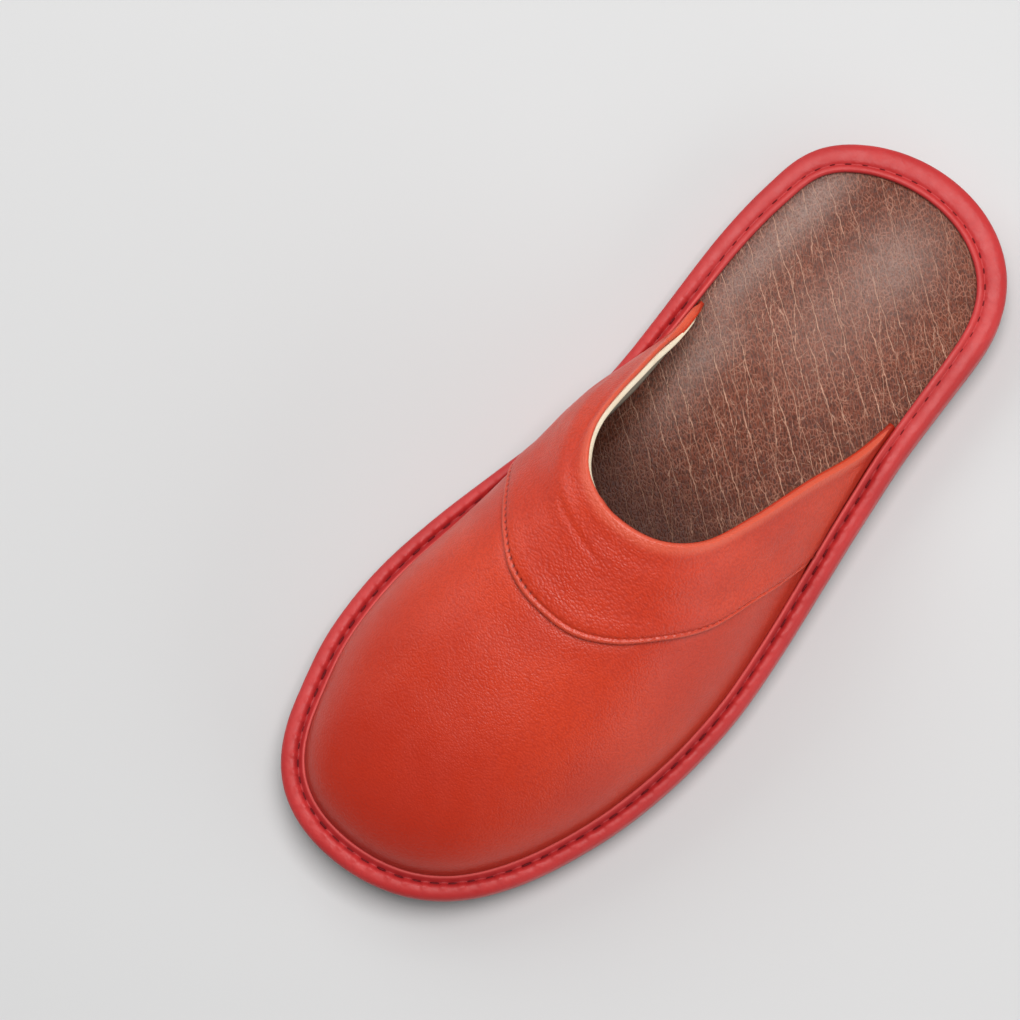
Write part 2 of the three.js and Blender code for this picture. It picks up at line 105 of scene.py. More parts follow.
# Crown and side walls of the upper, as in the solid model.
CROWN = {
    "along": [0.22, 0.37, 0.44, 0.52, 0.6, 0.69, 0.77, 0.86, 1],
    "height": [1.02, 1.02, 1.02, 1, 0.89, 0.77, 0.69, 0.61, 0.48],
    "ridge": [0.08, 0.083, 0.083, 0.08, 0.075, 0.07, 0.07, 0.07, 0.07],
}
OUTER_WALL = {
    "along": [0.22, 0.3, 0.35, 0.4, 0.46, 0.54, 0.62, 0.69, 0.85, 1],
    "across": [1.3, 1.4, 1.5, 1.6, 1.8, 2.05, 2.2, 2.3, 2.5, 2.8],
    "up": [1.05, 1.15, 1.2, 1.3, 1.45, 1.65, 1.8, 1.9, 1.95, 2],
    "tuck": [0, 0, 0.002, 0.005, 0.01, 0.014, 0.016, 0.016, 0.016, 0.016],
}
INNER_WALL = {
    "along": [0.22, 0.3, 0.35, 0.4, 0.46, 0.54, 0.62, 0.69, 0.85, 1],
    "across": [1.3, 1.5, 1.6, 1.55, 1.6, 1.85, 2.15, 2.3, 2.5, 2.8],
    "up": [1, 1.05, 1.2, 1.9, 2.75, 2.35, 2, 1.9, 1.95, 2],
    "tuck": [0.007, 0.021, 0.033, 0.047, 0.058, 0.045, 0.024, 0.016, 0.016, 0.016],
}
TUCK_TOP = 0.45
WIDEST_ALONG = 0.69

# Collar and overlay seam: turn runs from -1 just above the lip on the outer wall to 1 on the inner wall.
COLLAR = {
    "along": [0.24, 0.29, 0.345, 0.43, 0.485, 0.52, 0.532, 0.53, 0.508, 0.47, 0.428, 0.382, 0.34, 0.308,
              0.29],
    "turn": [-1, -0.845, -0.667, -0.468, -0.33, -0.165, 0, 0.12, 0.35, 0.5, 0.572, 0.652, 0.76, 0.865, 1],
}
SEAM = {
    "along": [0.405, 0.443, 0.482, 0.543, 0.589, 0.629, 0.652, 0.657, 0.65, 0.627, 0.59, 0.566, 0.535],
    "turn": [-1, -0.82, -0.69, -0.54, -0.39, -0.25, -0.12, 0, 0.16, 0.35, 0.61, 0.8, 1],
}
COLLAR_RIDGE_ROW = 6


def read(rows, column, place):
    """A smooth curve through one column of the rows, read at places along them."""
    along = np.asarray(rows["along"], float)
    values = np.asarray(rows[column], float)
    step = np.diff(along)
    rise = np.diff(values)
    rate = rise / step
    slope = np.concatenate([rate[:1], rate[:1].repeat(len(rate) - 1), rate[-1:]])
    slope[1:-1] = (rate[:-1] * step[1:] + rate[1:] * step[:-1]) / (step[:-1] + step[1:])
    place = np.asarray(place, float)
    i = np.clip(np.searchsorted(along, place, side="right") - 1, 0, len(step) - 1)
    t = np.clip((place - along[i]) / step[i], 0, 1)
    start = slope[i] * step[i]
    end = slope[i + 1] * step[i]
    return values[i] + t * start + t**2 * (3 * rise[i] - 2 * start - end) + t**3 * (start + end - 2 * rise[i])


def ease(value):
    t = np.clip(value, 0, 1)
    return t * t * (3 - 2 * t)


def bell(distance, width):
    return np.exp(-((distance / width) ** 2))


def unit(vectors):
    return vectors / np.maximum(np.linalg.norm(vectors, axis=-1, keepdims=True), 1e-9)


def line_lengths(points):
    """How far along a line each of its points lies. With several lines, each is one row."""
    steps = np.linalg.norm(np.diff(points, axis=-2), axis=-1)
    return np.concatenate([np.zeros(steps.shape[:-1] + (1,)), np.cumsum(steps, axis=-1)], -1)


def points_at(places, lengths, line):
    """Points at the given lengths along a line."""
    return np.stack([np.interp(places, lengths, line[:, k]) for k in range(line.shape[1])], -1)


def raised(plan, z):
    """Plan points with a height."""
    return np.concatenate([plan, np.broadcast_to(z, plan.shape[:-1])[..., None]], -1)


# Outline of the sole
def round_ends(along):
    return 2 * np.sqrt(np.maximum(along * (1 - along), 0))


def fullness(side):
    widths = np.array(OUTLINE[side])
    inner_rows = round_ends(np.array(OUTLINE["along"]))
    inner_rows[[0, -1]] = 1
    return widths / inner_rows


FULL = {"along": OUTLINE["along"], "outer": fullness("outer"), "inner": fullness("inner")}


def middle_x(along):
    return BALL_WIDTH * (MIDDLE_AT_HEEL + (MIDDLE_AT_TOE - MIDDLE_AT_HEEL) * along)


def outline(angle):
    along = (1 - np.cos(angle)) / 2
    outer = np.sin(angle) >= 0
    full = np.where(outer, read(FULL, "outer", along), read(FULL, "inner", along))
    half = BALL_WIDTH * full * round_ends(along)
    return np.stack([middle_x(along) + np.where(outer, -half, half), along * LENGTH], -1)


DENSE = 2880
ANGLES = np.linspace(0, 2 * np.pi, DENSE, endpoint=False)
EDGE = outline(ANGLES)
MIDDLE = (EDGE.min(0) + EDGE.max(0)) / 2
TANGENT = np.roll(EDGE, -1, 0) - np.roll(EDGE, 1, 0)
OUTWARD = unit(np.stack([-TANGENT[:, 1], TANGENT[:, 0]], -1))
EDGE_OUTER = np.sin(ANGLES) >= 0
EDGE_ALONG = EDGE[:, 1] / LENGTH
REACH = RAND_WIDTH * np.where(EDGE_OUTER, read(RAND, "outer", EDGE_ALONG), read(RAND, "inner", EDGE_ALONG))
EDGE_AT = line_lengths(np.concatenate([EDGE, EDGE[:1]]))
PERIMETER = EDGE_AT[-1]


def stations(distance):
    """Edge point, outward direction, rand width and distance at places round the outline."""
    distance = np.asarray(distance, float) % PERIMETER

    def at(values):
        return points_at(distance, EDGE_AT, np.concatenate([values, values[:1]]))

    return {"point": at(EDGE), "out": unit(at(OUTWARD)), "reach": at(REACH[:, None])[..., 0],
            "distance": distance}


def even_stations(count):
    return stations(np.linspace(0, PERIMETER, count, endpoint=False))


# Heights of the sole
SPRING_START = 0.76
WEDGE = (0.25, 0.6)
ARCH = (0.31, 0.55)


def spring(y):
    t = np.maximum((y / LENGTH - SPRING_START) / (1 - SPRING_START), 0)
    return TOE_SPRING * t * t


def recess(y):
    t = np.clip((y / LENGTH - ARCH[0]) / (ARCH[1] - ARCH[0]), 0, 1)
    return ARCH_RECESS * ease(2 * np.minimum(t, 1 - t))


def platform(y):
    wedge = ease((y / LENGTH - WEDGE[0]) / (WEDGE[1] - WEDGE[0]))
    return HEEL_HEIGHT + (FORE_HEIGHT - HEEL_HEIGHT) * wedge + spring(y)


INSOLE_TOP = CLEARANCE + INSOLE_THICKNESS
LIP_BASE = INSOLE_TOP + CLEARANCE
UPPER_INSET = LIP_WIDTH + CLEARANCE

# Form of the upper
LEAN_AT_LIP = 2 * LIP_THICKNESS / (TUCK_TOP * INSTEP_HEIGHT)
WALL_FROM = OUTER_WALL["along"][0]


def wall_value(column, outer, along):
    return np.where(outer, read(OUTER_WALL, column, along), read(INNER_WALL, column, along))


EDGE_TUCK = BALL_WIDTH * wall_value("tuck", EDGE_OUTER, np.maximum(EDGE_ALONG, WALL_FROM))
FOOT = EDGE - OUTWARD * (REACH + UPPER_INSET + LEAN_AT_LIP * EDGE_TUCK)[:, None]
OUTER_FOOT = FOOT[: DENSE // 2 + 1]
INNER_FOOT = np.concatenate([FOOT[:1], FOOT[: DENSE // 2 - 1 : -1]])


def ridge_x(y):
    return BALL_WIDTH * read(CROWN, "ridge", np.maximum(y / LENGTH, CROWN["along"][0]))


WIDEST = np.array([float(ridge_x(WIDEST_ALONG * LENGTH)), WIDEST_ALONG * LENGTH])
SPOKES = FOOT - WIDEST
SPOKE_ANGLE = np.arctan2(SPOKES[:, 0], SPOKES[:, 1])
FAN = np.argsort(SPOKE_ANGLE)
FAN = FAN[np.abs(SPOKE_ANGLE[FAN]) < 0.6 * np.pi]


def foot_x(y, foot):
    return np.interp(y, foot[:, 1], foot[:, 0])


def section(x, y):
    """Where plan points lie in their section of the upper."""
    ridge = ridge_x(y)
    outer = x < ridge
    behind = y <= WIDEST[1]
    dx = x - WIDEST[0]
    dy = y - WIDEST[1]
    far = np.hypot(dx, dy) + 1e-9
    angle = np.arctan2(dx, dy)
    turned = WIDEST_ALONG + (1 - WIDEST_ALONG) * ease(1 - np.abs(angle) / (np.pi / 2))
    along = np.where(behind, np.maximum(y / LENGTH, WALL_FROM), turned)
    tuck = BALL_WIDTH * wall_value("tuck", outer, along)
    side_radius = np.abs(np.where(outer, foot_x(y, OUTER_FOOT), foot_x(y, INNER_FOOT)) - ridge)
    toe_radius = np.interp(angle, SPOKE_ANGLE[FAN], np.hypot(*SPOKES[FAN].T))
    radius = np.where(behind, side_radius, toe_radius) + tuck
    share = np.where(behind, np.abs(x - ridge), far) / radius
    out_x = np.where(behind, np.where(outer, -1.0, 1.0), dx / far)
    out_y = np.where(behind, 0.0, dy / far)
    return {"outer": outer, "along": along, "tuck": tuck, "radius": radius, "share": share,
            "out": np.stack([out_x, out_y], -1)}


def face(plan):
    """Points of the upper's outer face over plan points."""
    x, y = plan[..., 0], plan[..., 1]
    s = section(x, y)
    across = wall_value("across", s["outer"], s["along"])
    up = wall_value("up", s["outer"], s["along"])
    height = np.maximum(1 - np.minimum(s["share"], 1) ** across, 0) ** (1 / up)
    drawn = s["tuck"] * np.maximum(1 - height / TUCK_TOP, 0) ** 2
    crown = read(CROWN, "height", np.clip(y / LENGTH, CROWN["along"][0], 1))
    p = plan - s["out"] * drawn[..., None]
    z = platform(p[..., 1]) + LIP_BASE + INSTEP_HEIGHT * crown * height
    return raised(p, z)


def plan_of(along, turn):
    outer = turn < 0
    across = wall_value("across", outer, along)
    up = wall_value("up", outer, along)
    lowest = ((LIP_THICKNESS + CLEARANCE) / INSTEP_HEIGHT) ** (up / 2)
    sign = np.where(outer, -1.0, 1.0)
    y = along * LENGTH
    ridge = ridge_x(y)
    radius = section(ridge + sign, y)["radius"]
    reach = np.sin(np.abs(turn) * np.arccos(lowest)) ** (2 / across) * radius
    return np.stack([ridge + sign * reach, y], -1)


def turn_curve(rows, share):
    """Along and turn at even shares of the way through the rows."""
    points = np.stack([np.array(rows["along"]) * LENGTH, np.array(rows["turn"]) * BALL_WIDTH], -1)
    knots = line_lengths(points)
    table = {"along": knots, "y": points[:, 0], "x": points[:, 1]}
    fine = np.linspace(0, knots[-1], 1200)
    dense = np.stack([read(table, "y", fine), read(table, "x", fine)], -1)
    lengths = line_lengths(dense)
    places = points_at(np.asarray(share, float) * lengths[-1], lengths, dense)
    ridge_share = np.interp(knots[COLLAR_RIDGE_ROW], fine, lengths) / lengths[-1]
    return places[..., 0] / LENGTH, places[..., 1] / BALL_WIDTH, ridge_share


def widest_line():
    start = COLLAR["along"][0] * LENGTH
    end = COLLAR["along"][-1] * LENGTH
    outer = OUTER_FOOT[OUTER_FOOT[:, 1] > start]
    inner = INNER_FOOT[::-1][INNER_FOOT[::-1, 1] > end]
    first = [[foot_x(start, OUTER_FOOT), start]]
    last = [[foot_x(end, INNER_FOOT), end]]
    line = np.concatenate([first, outer, inner[1:], last])
    s = section(line[:, 0], line[:, 1])
    line = line + s["out"] * s["tuck"][:, None]
    lengths = line_lengths(line)
    return line, lengths, lengths[np.argmax(line[:, 1])]


FAN_EVEN = 0.35
FAN_POWER = 3.3


def upper_plan(columns, rows, trim=0.0, margin=0.0):
    """Plan points of a grid over the whole upper, from its foot line to the collar, and how much of the
    lining shows at the collar of each column. The trim shortens the columns where it shows, and the
    margin leaves out the rear ends."""
    line, lengths, toe = widest_line()
    distance = np.linspace(margin, lengths[-1] - margin, columns)
    foot = points_at(distance, lengths, line)
    outer = distance <= toe
    back = np.where(outer, (toe - distance) / toe, (distance - toe) / (lengths[-1] - toe))
    fanned = FAN_EVEN * back + (1 - FAN_EVEN) * back**FAN_POWER
    ridge_share = turn_curve(COLLAR, 0.0)[2]
    share = np.where(outer, ridge_share * (1 - fanned), ridge_share + (1 - ridge_share) * fanned)
    along, turn, _ = turn_curve(COLLAR, share)
    collar = plan_of(along, turn)
    shown = lining_shown(along, turn)
    step = (1 - np.cos(np.linspace(0, np.pi / 2, rows)))[None, :] * (1 - trim * shown)[:, None]
    return foot[:, None] + (collar - foot)[:, None] * step[..., None], shown


def lining_shown(along, turn):
    """1 where the lining shows at the collar, on its inner side."""
    return ease((turn - 0.12) / 0.24) * ease((along - 0.30) / 0.06)


def grid_normals(points):
    across = np.gradient(points, axis=0)
    up = np.gradient(points, axis=1)
    return unit(np.cross(up, across))


# Soft unevenness of the leather
def ripple(points, wavelength, seed):
    """Smooth waves of height 1 through space, the same each run."""
    random = np.random.default_rng(seed)
    waves = random.normal(size=(7, 3))
    waves *= 2 * np.pi / wavelength / np.linalg.norm(waves, axis=1)[:, None]
    waves *= random.uniform(0.6, 1.5, size=(7, 1))
    phases = random.uniform(0, 2 * np.pi, size=7)
    return np.sin(points @ waves.T + phases).mean(-1) * 1.6


# Creases on the upper: height outwards and width in millimetres, then along and turn of the middle line.
CREASES = [
    (-0.27, 1.0, [0.556, 0.565, 0.572, 0.577], [0.3, 0.2, 0.07, -0.06]),
    (0.45, 3.0, [0.43, 0.49, 0.535, 0.556], [0.72, 0.6, 0.42, 0.2]),
    (-0.35, 4.0, [0.45, 0.51, 0.555, 0.58], [0.86, 0.72, 0.5, 0.24]),
    (-0.4, 4.0, [0.4, 0.46, 0.52, 0.56], [-0.7, -0.62, -0.5, -0.3]),
    (0.3, 5.0, [0.42, 0.47, 0.54, 0.59], [-0.8, -0.74, -0.6, -0.36]),
    (-0.35, 7.0, [0.62, 0.68, 0.76, 0.84], [-0.72, -0.7, -0.72, -0.78]),
    (-0.3, 8.0, [0.64, 0.72, 0.8, 0.86], [0.62, 0.6, 0.62, 0.7]),
]


def crease_relief(points):
    relief = np.zeros(points.shape[:-1])
    for height, width, along, turn in CREASES:
        middle = face(plan_of(np.array(along), np.array(turn)))
        knots = np.arange(len(middle))
        fine = np.linspace(0, len(middle) - 1, 40)
        path = points_at(fine, knots, middle)
        near = np.full(relief.shape, 1e9)
        for spot, end in zip(path, np.abs(2 * fine / fine[-1] - 1)):
            gap = np.linalg.norm(points - spot, axis=-1) + width * 0.7 * end**3
            near = np.minimum(near, gap)
        relief += height * bell(near, width)
    return relief


def upper_relief(points):
    foot = 0.6 * bell(np.maximum(lip_gap(points), 0), 1.6)
    return crease_relief(points) + foot + 0.14 * ripple(points, 36.0, 3) + 0.03 * ripple(points, 14.0, 8)


# Meshes
def new_object(name, data):
    item = bpy.data.objects.new(name, data)
    bpy.context.scene.collection.objects.link(item)
    return item


def make_mesh(name, points, faces, material, body="root", stands_for=(), marks=None):
    """One smooth piece from points in millimetres. Marks are values kept at its vertices for its material."""
    points = np.asarray(points, float).reshape(-1, 3)
    placed = (points - [MIDDLE[0], MIDDLE[1], 0]) * MM
    mesh = bpy.data.meshes.new(name)
    mesh.from_pydata(placed.tolist(), [], [list(f) for f in faces])
    mesh.validate()
    mesh.materials.append(material)
    mesh.polygons.foreach_set("use_smooth", [True] * len(mesh.polygons))
    for key, values in (marks or {}).items():
        layer = mesh.attributes.new(key, "FLOAT", "POINT")
        layer.data.foreach_set("value", np.asarray(values, np.float32).reshape(-1))
    piece = new_object(name, mesh)
    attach(piece, body)
    if stands_for:
        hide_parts(*stands_for)
    return piece


def grid_faces(rows, columns, close_rows=False, close_columns=False, start=0, flip=False):
    """Faces of a grid of rows times columns points, numbered row by row."""
    i = np.arange(rows if close_rows else rows - 1)
    j = np.arange(columns if close_columns else columns - 1)
    i, j = np.meshgrid(i, j, indexing="ij")
    ni = (i + 1) % rows
    nj = (j + 1) % columns
    quads = np.stack([i * columns + j, ni * columns + j, ni * columns + nj, i * columns + nj], -1)
    quads = quads.reshape(-1, 4)
    return (quads[:, ::-1] if flip else quads) + start


def sheet_faces(rows, columns):
    """Faces of a closed sheet: an outer grid, an inner grid after it, and the four rims."""
    size = rows * columns
    outer = grid_faces(rows, columns)
    inner = grid_faces(rows, columns, start=size, flip=True)
    rim = np.concatenate([
        np.arange(columns - 1),
        columns - 1 + columns * np.arange(rows - 1),
        size - 1 - np.arange(columns - 1),
        columns * (rows - 1 - np.arange(rows - 1)),
    ])
    after = np.roll(rim, -1)
    sides = np.stack([after, rim, rim + size, after + size], -1)
    return np.concatenate([outer, inner, sides[:, ::-1]])


def loft_faces(rows, columns, start=0):
    """Faces of a swept closed section with flat ends. Each row is one section."""
    faces = list(grid_faces(rows, columns, close_columns=True, start=start))
    last = start + (rows - 1) * columns
    return faces + [range(start, start + columns), range(last, last + columns)[::-1]]


# Materials
class Shader:
    """A material whose nodes are added one by one. Inputs are sockets or plain values."""

    def __init__(self, name):
        self.material = bpy.data.materials.new(name)
        self.material.use_nodes = True
        self.tree = self.material.node_tree
        self.surface = self.tree.nodes["Principled BSDF"]
        self.spot = self.add("ShaderNodeTexCoord").outputs["Object"]

    def add(self, kind, inputs=None, **settings):
        node = self.tree.nodes.new(kind)
        for key, value in settings.items():
            setattr(node, key, value)
        for key, value in (inputs or {}).items():
            self.put(node.inputs[key], value)
        return node

    def put(self, socket, value):
        if isinstance(value, bpy.types.NodeSocket):
            self.tree.links.new(value, socket)
        else:
            socket.default_value = value

    def set(self, **inputs):
        for key, value in inputs.items():
            self.put(self.surface.inputs[key.replace("_", " ")], value)
        return self.material

    def math(self, operation, a, b=0.0, c=0.0):
        return self.add("ShaderNodeMath", {0: a, 1: b, 2: c}, operation=operation).outputs[0]

    def mix(self, share, a, b):
        node = self.add("ShaderNodeMix", data_type="RGBA")
        for k, value in ((0, share), (6, a), (7, b)):
            self.put(node.inputs[k], (*value, 1) if isinstance(value, tuple) else value)
        return node.outputs[2]

    def span(self, value, low, high, to_low=0.0, to_high=1.0):
        inputs = {0: value, 1: low, 2: high, 3: to_low, 4: to_high}
        return self.add("ShaderNodeMapRange", inputs, interpolation_type="SMOOTHSTEP").outputs[0]

    def tint(self, colour, tone, value, *span):
        """A tone laid over the colour by a span of the value."""
        return self.mix(self.span(value, *span), colour, tone)

    def stretched(self, turn, size, bend=0.0, bend_size=0.01):
        """Object coordinates turned about Z and measured in cells of the given size in millimetres."""
        spot = self.spot
        if bend:
            waves = self.noise(bend_size, detail=2.0, coloured=True)
            shift = self.add("ShaderNodeVectorMath", {0: waves, 1: (0.5, 0.5, 0.5)}, operation="SUBTRACT")
            scaled = self.add("ShaderNodeVectorMath", {0: shift.outputs[0], "Scale": bend}, operation="SCALE")
            spot = self.add("ShaderNodeVectorMath", {0: spot, 1: scaled.outputs[0]}).outputs[0]
        rotated = self.add("ShaderNodeMapping", {"Vector": spot, "Rotation": (0, 0, turn)}).outputs[0]
        scale = tuple(1 / (MM * s) for s in size)
        return self.add("ShaderNodeMapping", {"Vector": rotated, "Scale": scale}).outputs[0]

    def noise(self, size, detail=3.0, roughness=0.5, where=None, coloured=False):
        """Noise with features of about the given size in millimetres, or in cells when a place is given."""
        scale = 1.0 if where is not None else 1 / (MM * size)
        inputs = {"Vector": self.spot if where is None else where, "Scale": scale, "Detail": detail,
                  "Roughness": roughness}
        return self.add("ShaderNodeTexNoise", inputs).outputs[1 if coloured else 0]

    def lines(self, turn, spacing, sway, sway_size, width, seed):
        """Wavy lines of an even width in millimetres, running at an angle from +X in plan."""
        across = self.stretched(-turn, (sway_size, spacing, 1e6))
        moved = self.add("ShaderNodeMapping", {"Vector": across, "Location": (seed, seed, 0)}).outputs[0]
        waves = self.stretched(-turn, (sway_size, sway_size * 0.6, 1e6))
        wander = self.noise(1.0, detail=4.0, roughness=0.6, where=waves)
        place = self.add("ShaderNodeSeparateXYZ", {0: moved}).outputs[1]
        place = self.math("ADD", place, self.math("MULTIPLY", wander, 2 * sway / spacing))
        gap = self.cells("DISTANCE_TO_EDGE", "1D", W=place)
        return self.span(gap, 0.1 * width / spacing, 0.5 * width / spacing, 1.0, 0.0)

    def cells(self, feature, dimensions, **inputs):
        """Distance to the middle or the edge of the nearest cell, in cells."""
        settings = {"voronoi_dimensions": dimensions, "feature": feature}
        return self.add("ShaderNodeTexVoronoi", {"Scale": 1.0, **inputs}, **settings).outputs["Distance"]

    def mark(self, name):
        return self.add("ShaderNodeAttribute", attribute_name=name, attribute_type="GEOMETRY").outputs["Fac"]

    def bump(self, height, depth, strength=1.0, under=None):
        """A bump of the given depth in millimetres over the one under it."""
        inputs = {"Height": height, "Distance": depth * MM, "Strength": strength}
        if under is not None:
            inputs["Normal"] = under
        return self.add("ShaderNodeBump", inputs).outputs[0]


def pebbles(shader, size, depth, stretch=1.6):
    """Fine pebbled leather grain, longer across the shoe than along it."""
    place = shader.stretched(0.12, (size * stretch, size, size), bend=0.0008, bend_size=2.2)
    cell = shader.cells("SMOOTH_F1", "3D", Vector=place, Smoothness=0.3)
    fine = shader.noise(0.35, detail=2.0)
    pores = shader.span(shader.noise(0.8, detail=1.0), 0.60, 0.74)
    first = shader.bump(shader.math("SUBTRACT", 1.0, cell), depth, 0.9)
    second = shader.bump(fine, depth * 0.3, 0.6, under=first)
    return shader.bump(shader.math("SUBTRACT", 1.0, pores), depth * 0.4, 0.5, under=second), cell


def upper_leather(name, grain, depth, stretch):
    """Orange-red leather with fine pebbles, painted shade along the lip, the seam and towards the toe, and a
    painted highlight on edges.
    """
    shader = Shader(name)
    cloud = shader.noise(38.0, detail=2.0)
    colour = shader.tint((0.58, 0.033, 0.006), (0.67, 0.047, 0.009), cloud, 0.35, 0.68)
    mottle = shader.noise(1.6, detail=3.0)
    colour = shader.tint(colour, (0.44, 0.022, 0.006), mottle, 0.4, 0.7, 0.0, 0.2)
    normal, cell = pebbles(shader, grain, depth, stretch)
    colour = shader.tint(colour, (0.36, 0.014, 0.004), cell, 0.35, 0.75, 0.0, 0.3)
    # Painted shade, darker towards the toe, which faces away from the lamps.
    colour = shader.tint(colour, (0.46, 0.017, 0.003), shader.mark("forward"), 0.60, 0.98, 0.0, 0.8)
    # Painted shade in the overlay's needle holes and in the crease beside its seam.
    colour = shader.tint(colour, (0.14, 0.005, 0.003), shader.mark("seam_shade"), 0.05, 0.7, 0.0, 0.9)
    # Painted shade in the crease along the lip, fading over 7 mm up the wall.
    colour = shader.tint(colour, (0.24, 0.008, 0.003), shader.mark("lip_gap"), 0.2, 7.0, 0.45, 0.0)
    # Painted highlight on the overlay's rolled collar rim and on the edge strip by its seam.
    colour = shader.tint(colour, (0.75, 0.125, 0.065), shader.mark("edge"), 0.0, 1.0, 0.0, 0.6)
    rough = shader.span(shader.noise(7.0, detail=3.0), 0.3, 0.7, 0.36, 0.44)
    return shader.set(Base_Color=colour, Roughness=rough, Normal=normal, IOR=1.52)


def rand_leather():
    """Pinkish red smooth leather of the rand, with painted shade in the stitch groove and painted highlights
    on the lip and roll.
    """
    shader = Shader("rand_leather")
    cloud = shader.noise(26.0, detail=2.0)
    colour = shader.tint((0.47, 0.021, 0.021), (0.55, 0.031, 0.031), cloud, 0.35, 0.68)
    mottle = shader.noise(1.6, detail=3.0)
    colour = shader.tint(colour, (0.42, 0.022, 0.028), mottle, 0.42, 0.7, 0.0, 0.3)
    # Painted shade in the stitch groove and in the crease at the lip's inner foot.
    colour = shader.tint(colour, (0.28, 0.006, 0.009), shader.mark("groove"), 0.0, 1.0, 0.0, 0.75)
    # Painted highlight along the lip's crest and the roll's crest.
    colour = shader.tint(colour, (0.74, 0.10, 0.09), shader.mark("edge"), 0.0, 1.0, 0.0, 0.7)
    normal, _ = pebbles(shader, 0.7, 0.04)
    normal = shader.bump(shader.noise(3.2, detail=2.0), 0.35, 0.8, under=normal)
    rough = shader.span(shader.noise(5.0, detail=3.0), 0.3, 0.7, 0.46, 0.56)
    return shader.set(Base_Color=colour, Roughness=rough, Normal=normal, IOR=1.43, Sheen_Weight=0.05,
                      Sheen_Roughness=0.4)


# Crackle lines of the insole: direction from +X in degrees, spacing, sway, length of the sway, line width,
# length and width of the patches that carry them, where a patch starts, and strength.
CRACKLES = [
    (-29, 4.6, 1.4, 9.0, 0.42, 26.0, 5.5, 0.40, 1.0),
    (-43, 6.0, 1.8, 8.0, 0.36, 14.0, 4.0, 0.48, 0.85),
    (-14, 5.5, 1.8, 7.0, 0.34, 9.0, 3.0, 0.51, 0.75),
    (84, 3.2, 1.6, 5.0, 0.28, 5.0, 2.5, 0.51, 0.5),
    (36, 3.6, 1.8, 5.0, 0.28, 5.0, 2.5, 0.52, 0.5),
    (-33, 2.1, 1.1, 4.0, 0.28, 4.0, 2.0, 0.47, 0.6),
]


def insole_leather():
    """Brown leather with pale crackle lines that mostly run across from the inner heel to the outer toe."""
    shader = Shader("insole_leather")
    cloud = shader.noise(24.0, detail=3.0)
    colour = shader.tint((0.155, 0.031, 0.012), (0.215, 0.050, 0.022), cloud, 0.35, 0.68)
    hatch = shader.noise(1.0, detail=3.0, where=shader.stretched(np.radians(40), (1.5, 0.5, 1e6)))
    colour = shader.tint(colour, (0.045, 0.011, 0.006), hatch, 0.42, 0.58, 0.0, 0.75)
    net = shader.stretched(np.radians(29), (1.7, 1.0, 1e6), bend=0.0006, bend_size=2.2)
    gap = shader.cells("DISTANCE_TO_EDGE", "2D", Vector=net)
    seams = shader.span(gap, 0.0, 0.22, 1.0, 0.0)
    patchy = shader.span(shader.noise(3.0, detail=3.0), 0.36, 0.64, 0.05, 0.75)
    colour = shader.mix(shader.math("MULTIPLY", seams, patchy), colour, (0.34, 0.125, 0.075))
    normal = shader.bump(shader.span(gap, 0.0, 0.4), 0.13, 0.9)
    less = shader.span(shader.mark("forward"), 0.03, 0.20, 0.35, 1.0)
    for seed, (angle, spacing, sway, sway_size, width, long, wide, start, strength) in enumerate(CRACKLES):
        turn = np.radians(angle)
        line = shader.lines(turn, spacing, sway, sway_size, width, 7.3 * seed)
        patch = shader.noise(1.0, detail=3.0, where=shader.stretched(-turn, (long, wide, 1e6)))
        keep = shader.span(patch, start - 0.06, start + 0.12, 0.0, strength)
        amount = shader.math("MULTIPLY", shader.math("MULTIPLY", line, keep), less)
        colour = shader.mix(amount, colour, (0.60, 0.32, 0.22))
        normal = shader.bump(shader.math("SUBTRACT", 1.0, amount), 0.16, 0.9, under=normal)
    normal = shader.bump(shader.noise(0.45, detail=3.0), 0.06, 0.8, under=normal)
    # Painted highlight: grey glare patches at the heel and the inner arch, broken by a speckle.
    speckle = shader.span(shader.noise(0.6, detail=3.0), 0.35, 0.6, 0.6, 1.0)
    painted_highlight = shader.math("MULTIPLY", shader.mark("painted_highlight"), speckle)
    colour = shader.mix(painted_highlight, colour, (0.40, 0.29, 0.25))
    # Painted shade under the front of the upper.
    colour = shader.tint(colour, (0.050, 0.013, 0.007), shader.mark("forward"), 0.37, 0.52, 0.0, 0.72)
    rough = shader.span(shader.noise(4.0, detail=3.0), 0.3, 0.7, 0.42, 0.56)
    return shader.set(Base_Color=colour, Roughness=rough, Normal=normal, IOR=1.31)


def lining_leather():
    """Cream lining leather."""
    shader = Shader("lining_leather")
    cloud = shader.noise(14.0, detail=3.0)
    colour = shader.tint((0.86, 0.72, 0.52), (0.93, 0.82, 0.62), cloud, 0.35, 0.7)
    # Painted shade deeper inside the shoe, below the cream edge.
    colour = shader.tint(colour, (0.46, 0.42, 0.33), shader.mark("down"), 1.1, 4.0)
    normal, _ = pebbles(shader, 0.8, 0.05)
    return shader.set(Base_Color=colour, Roughness=0.62, Normal=normal)


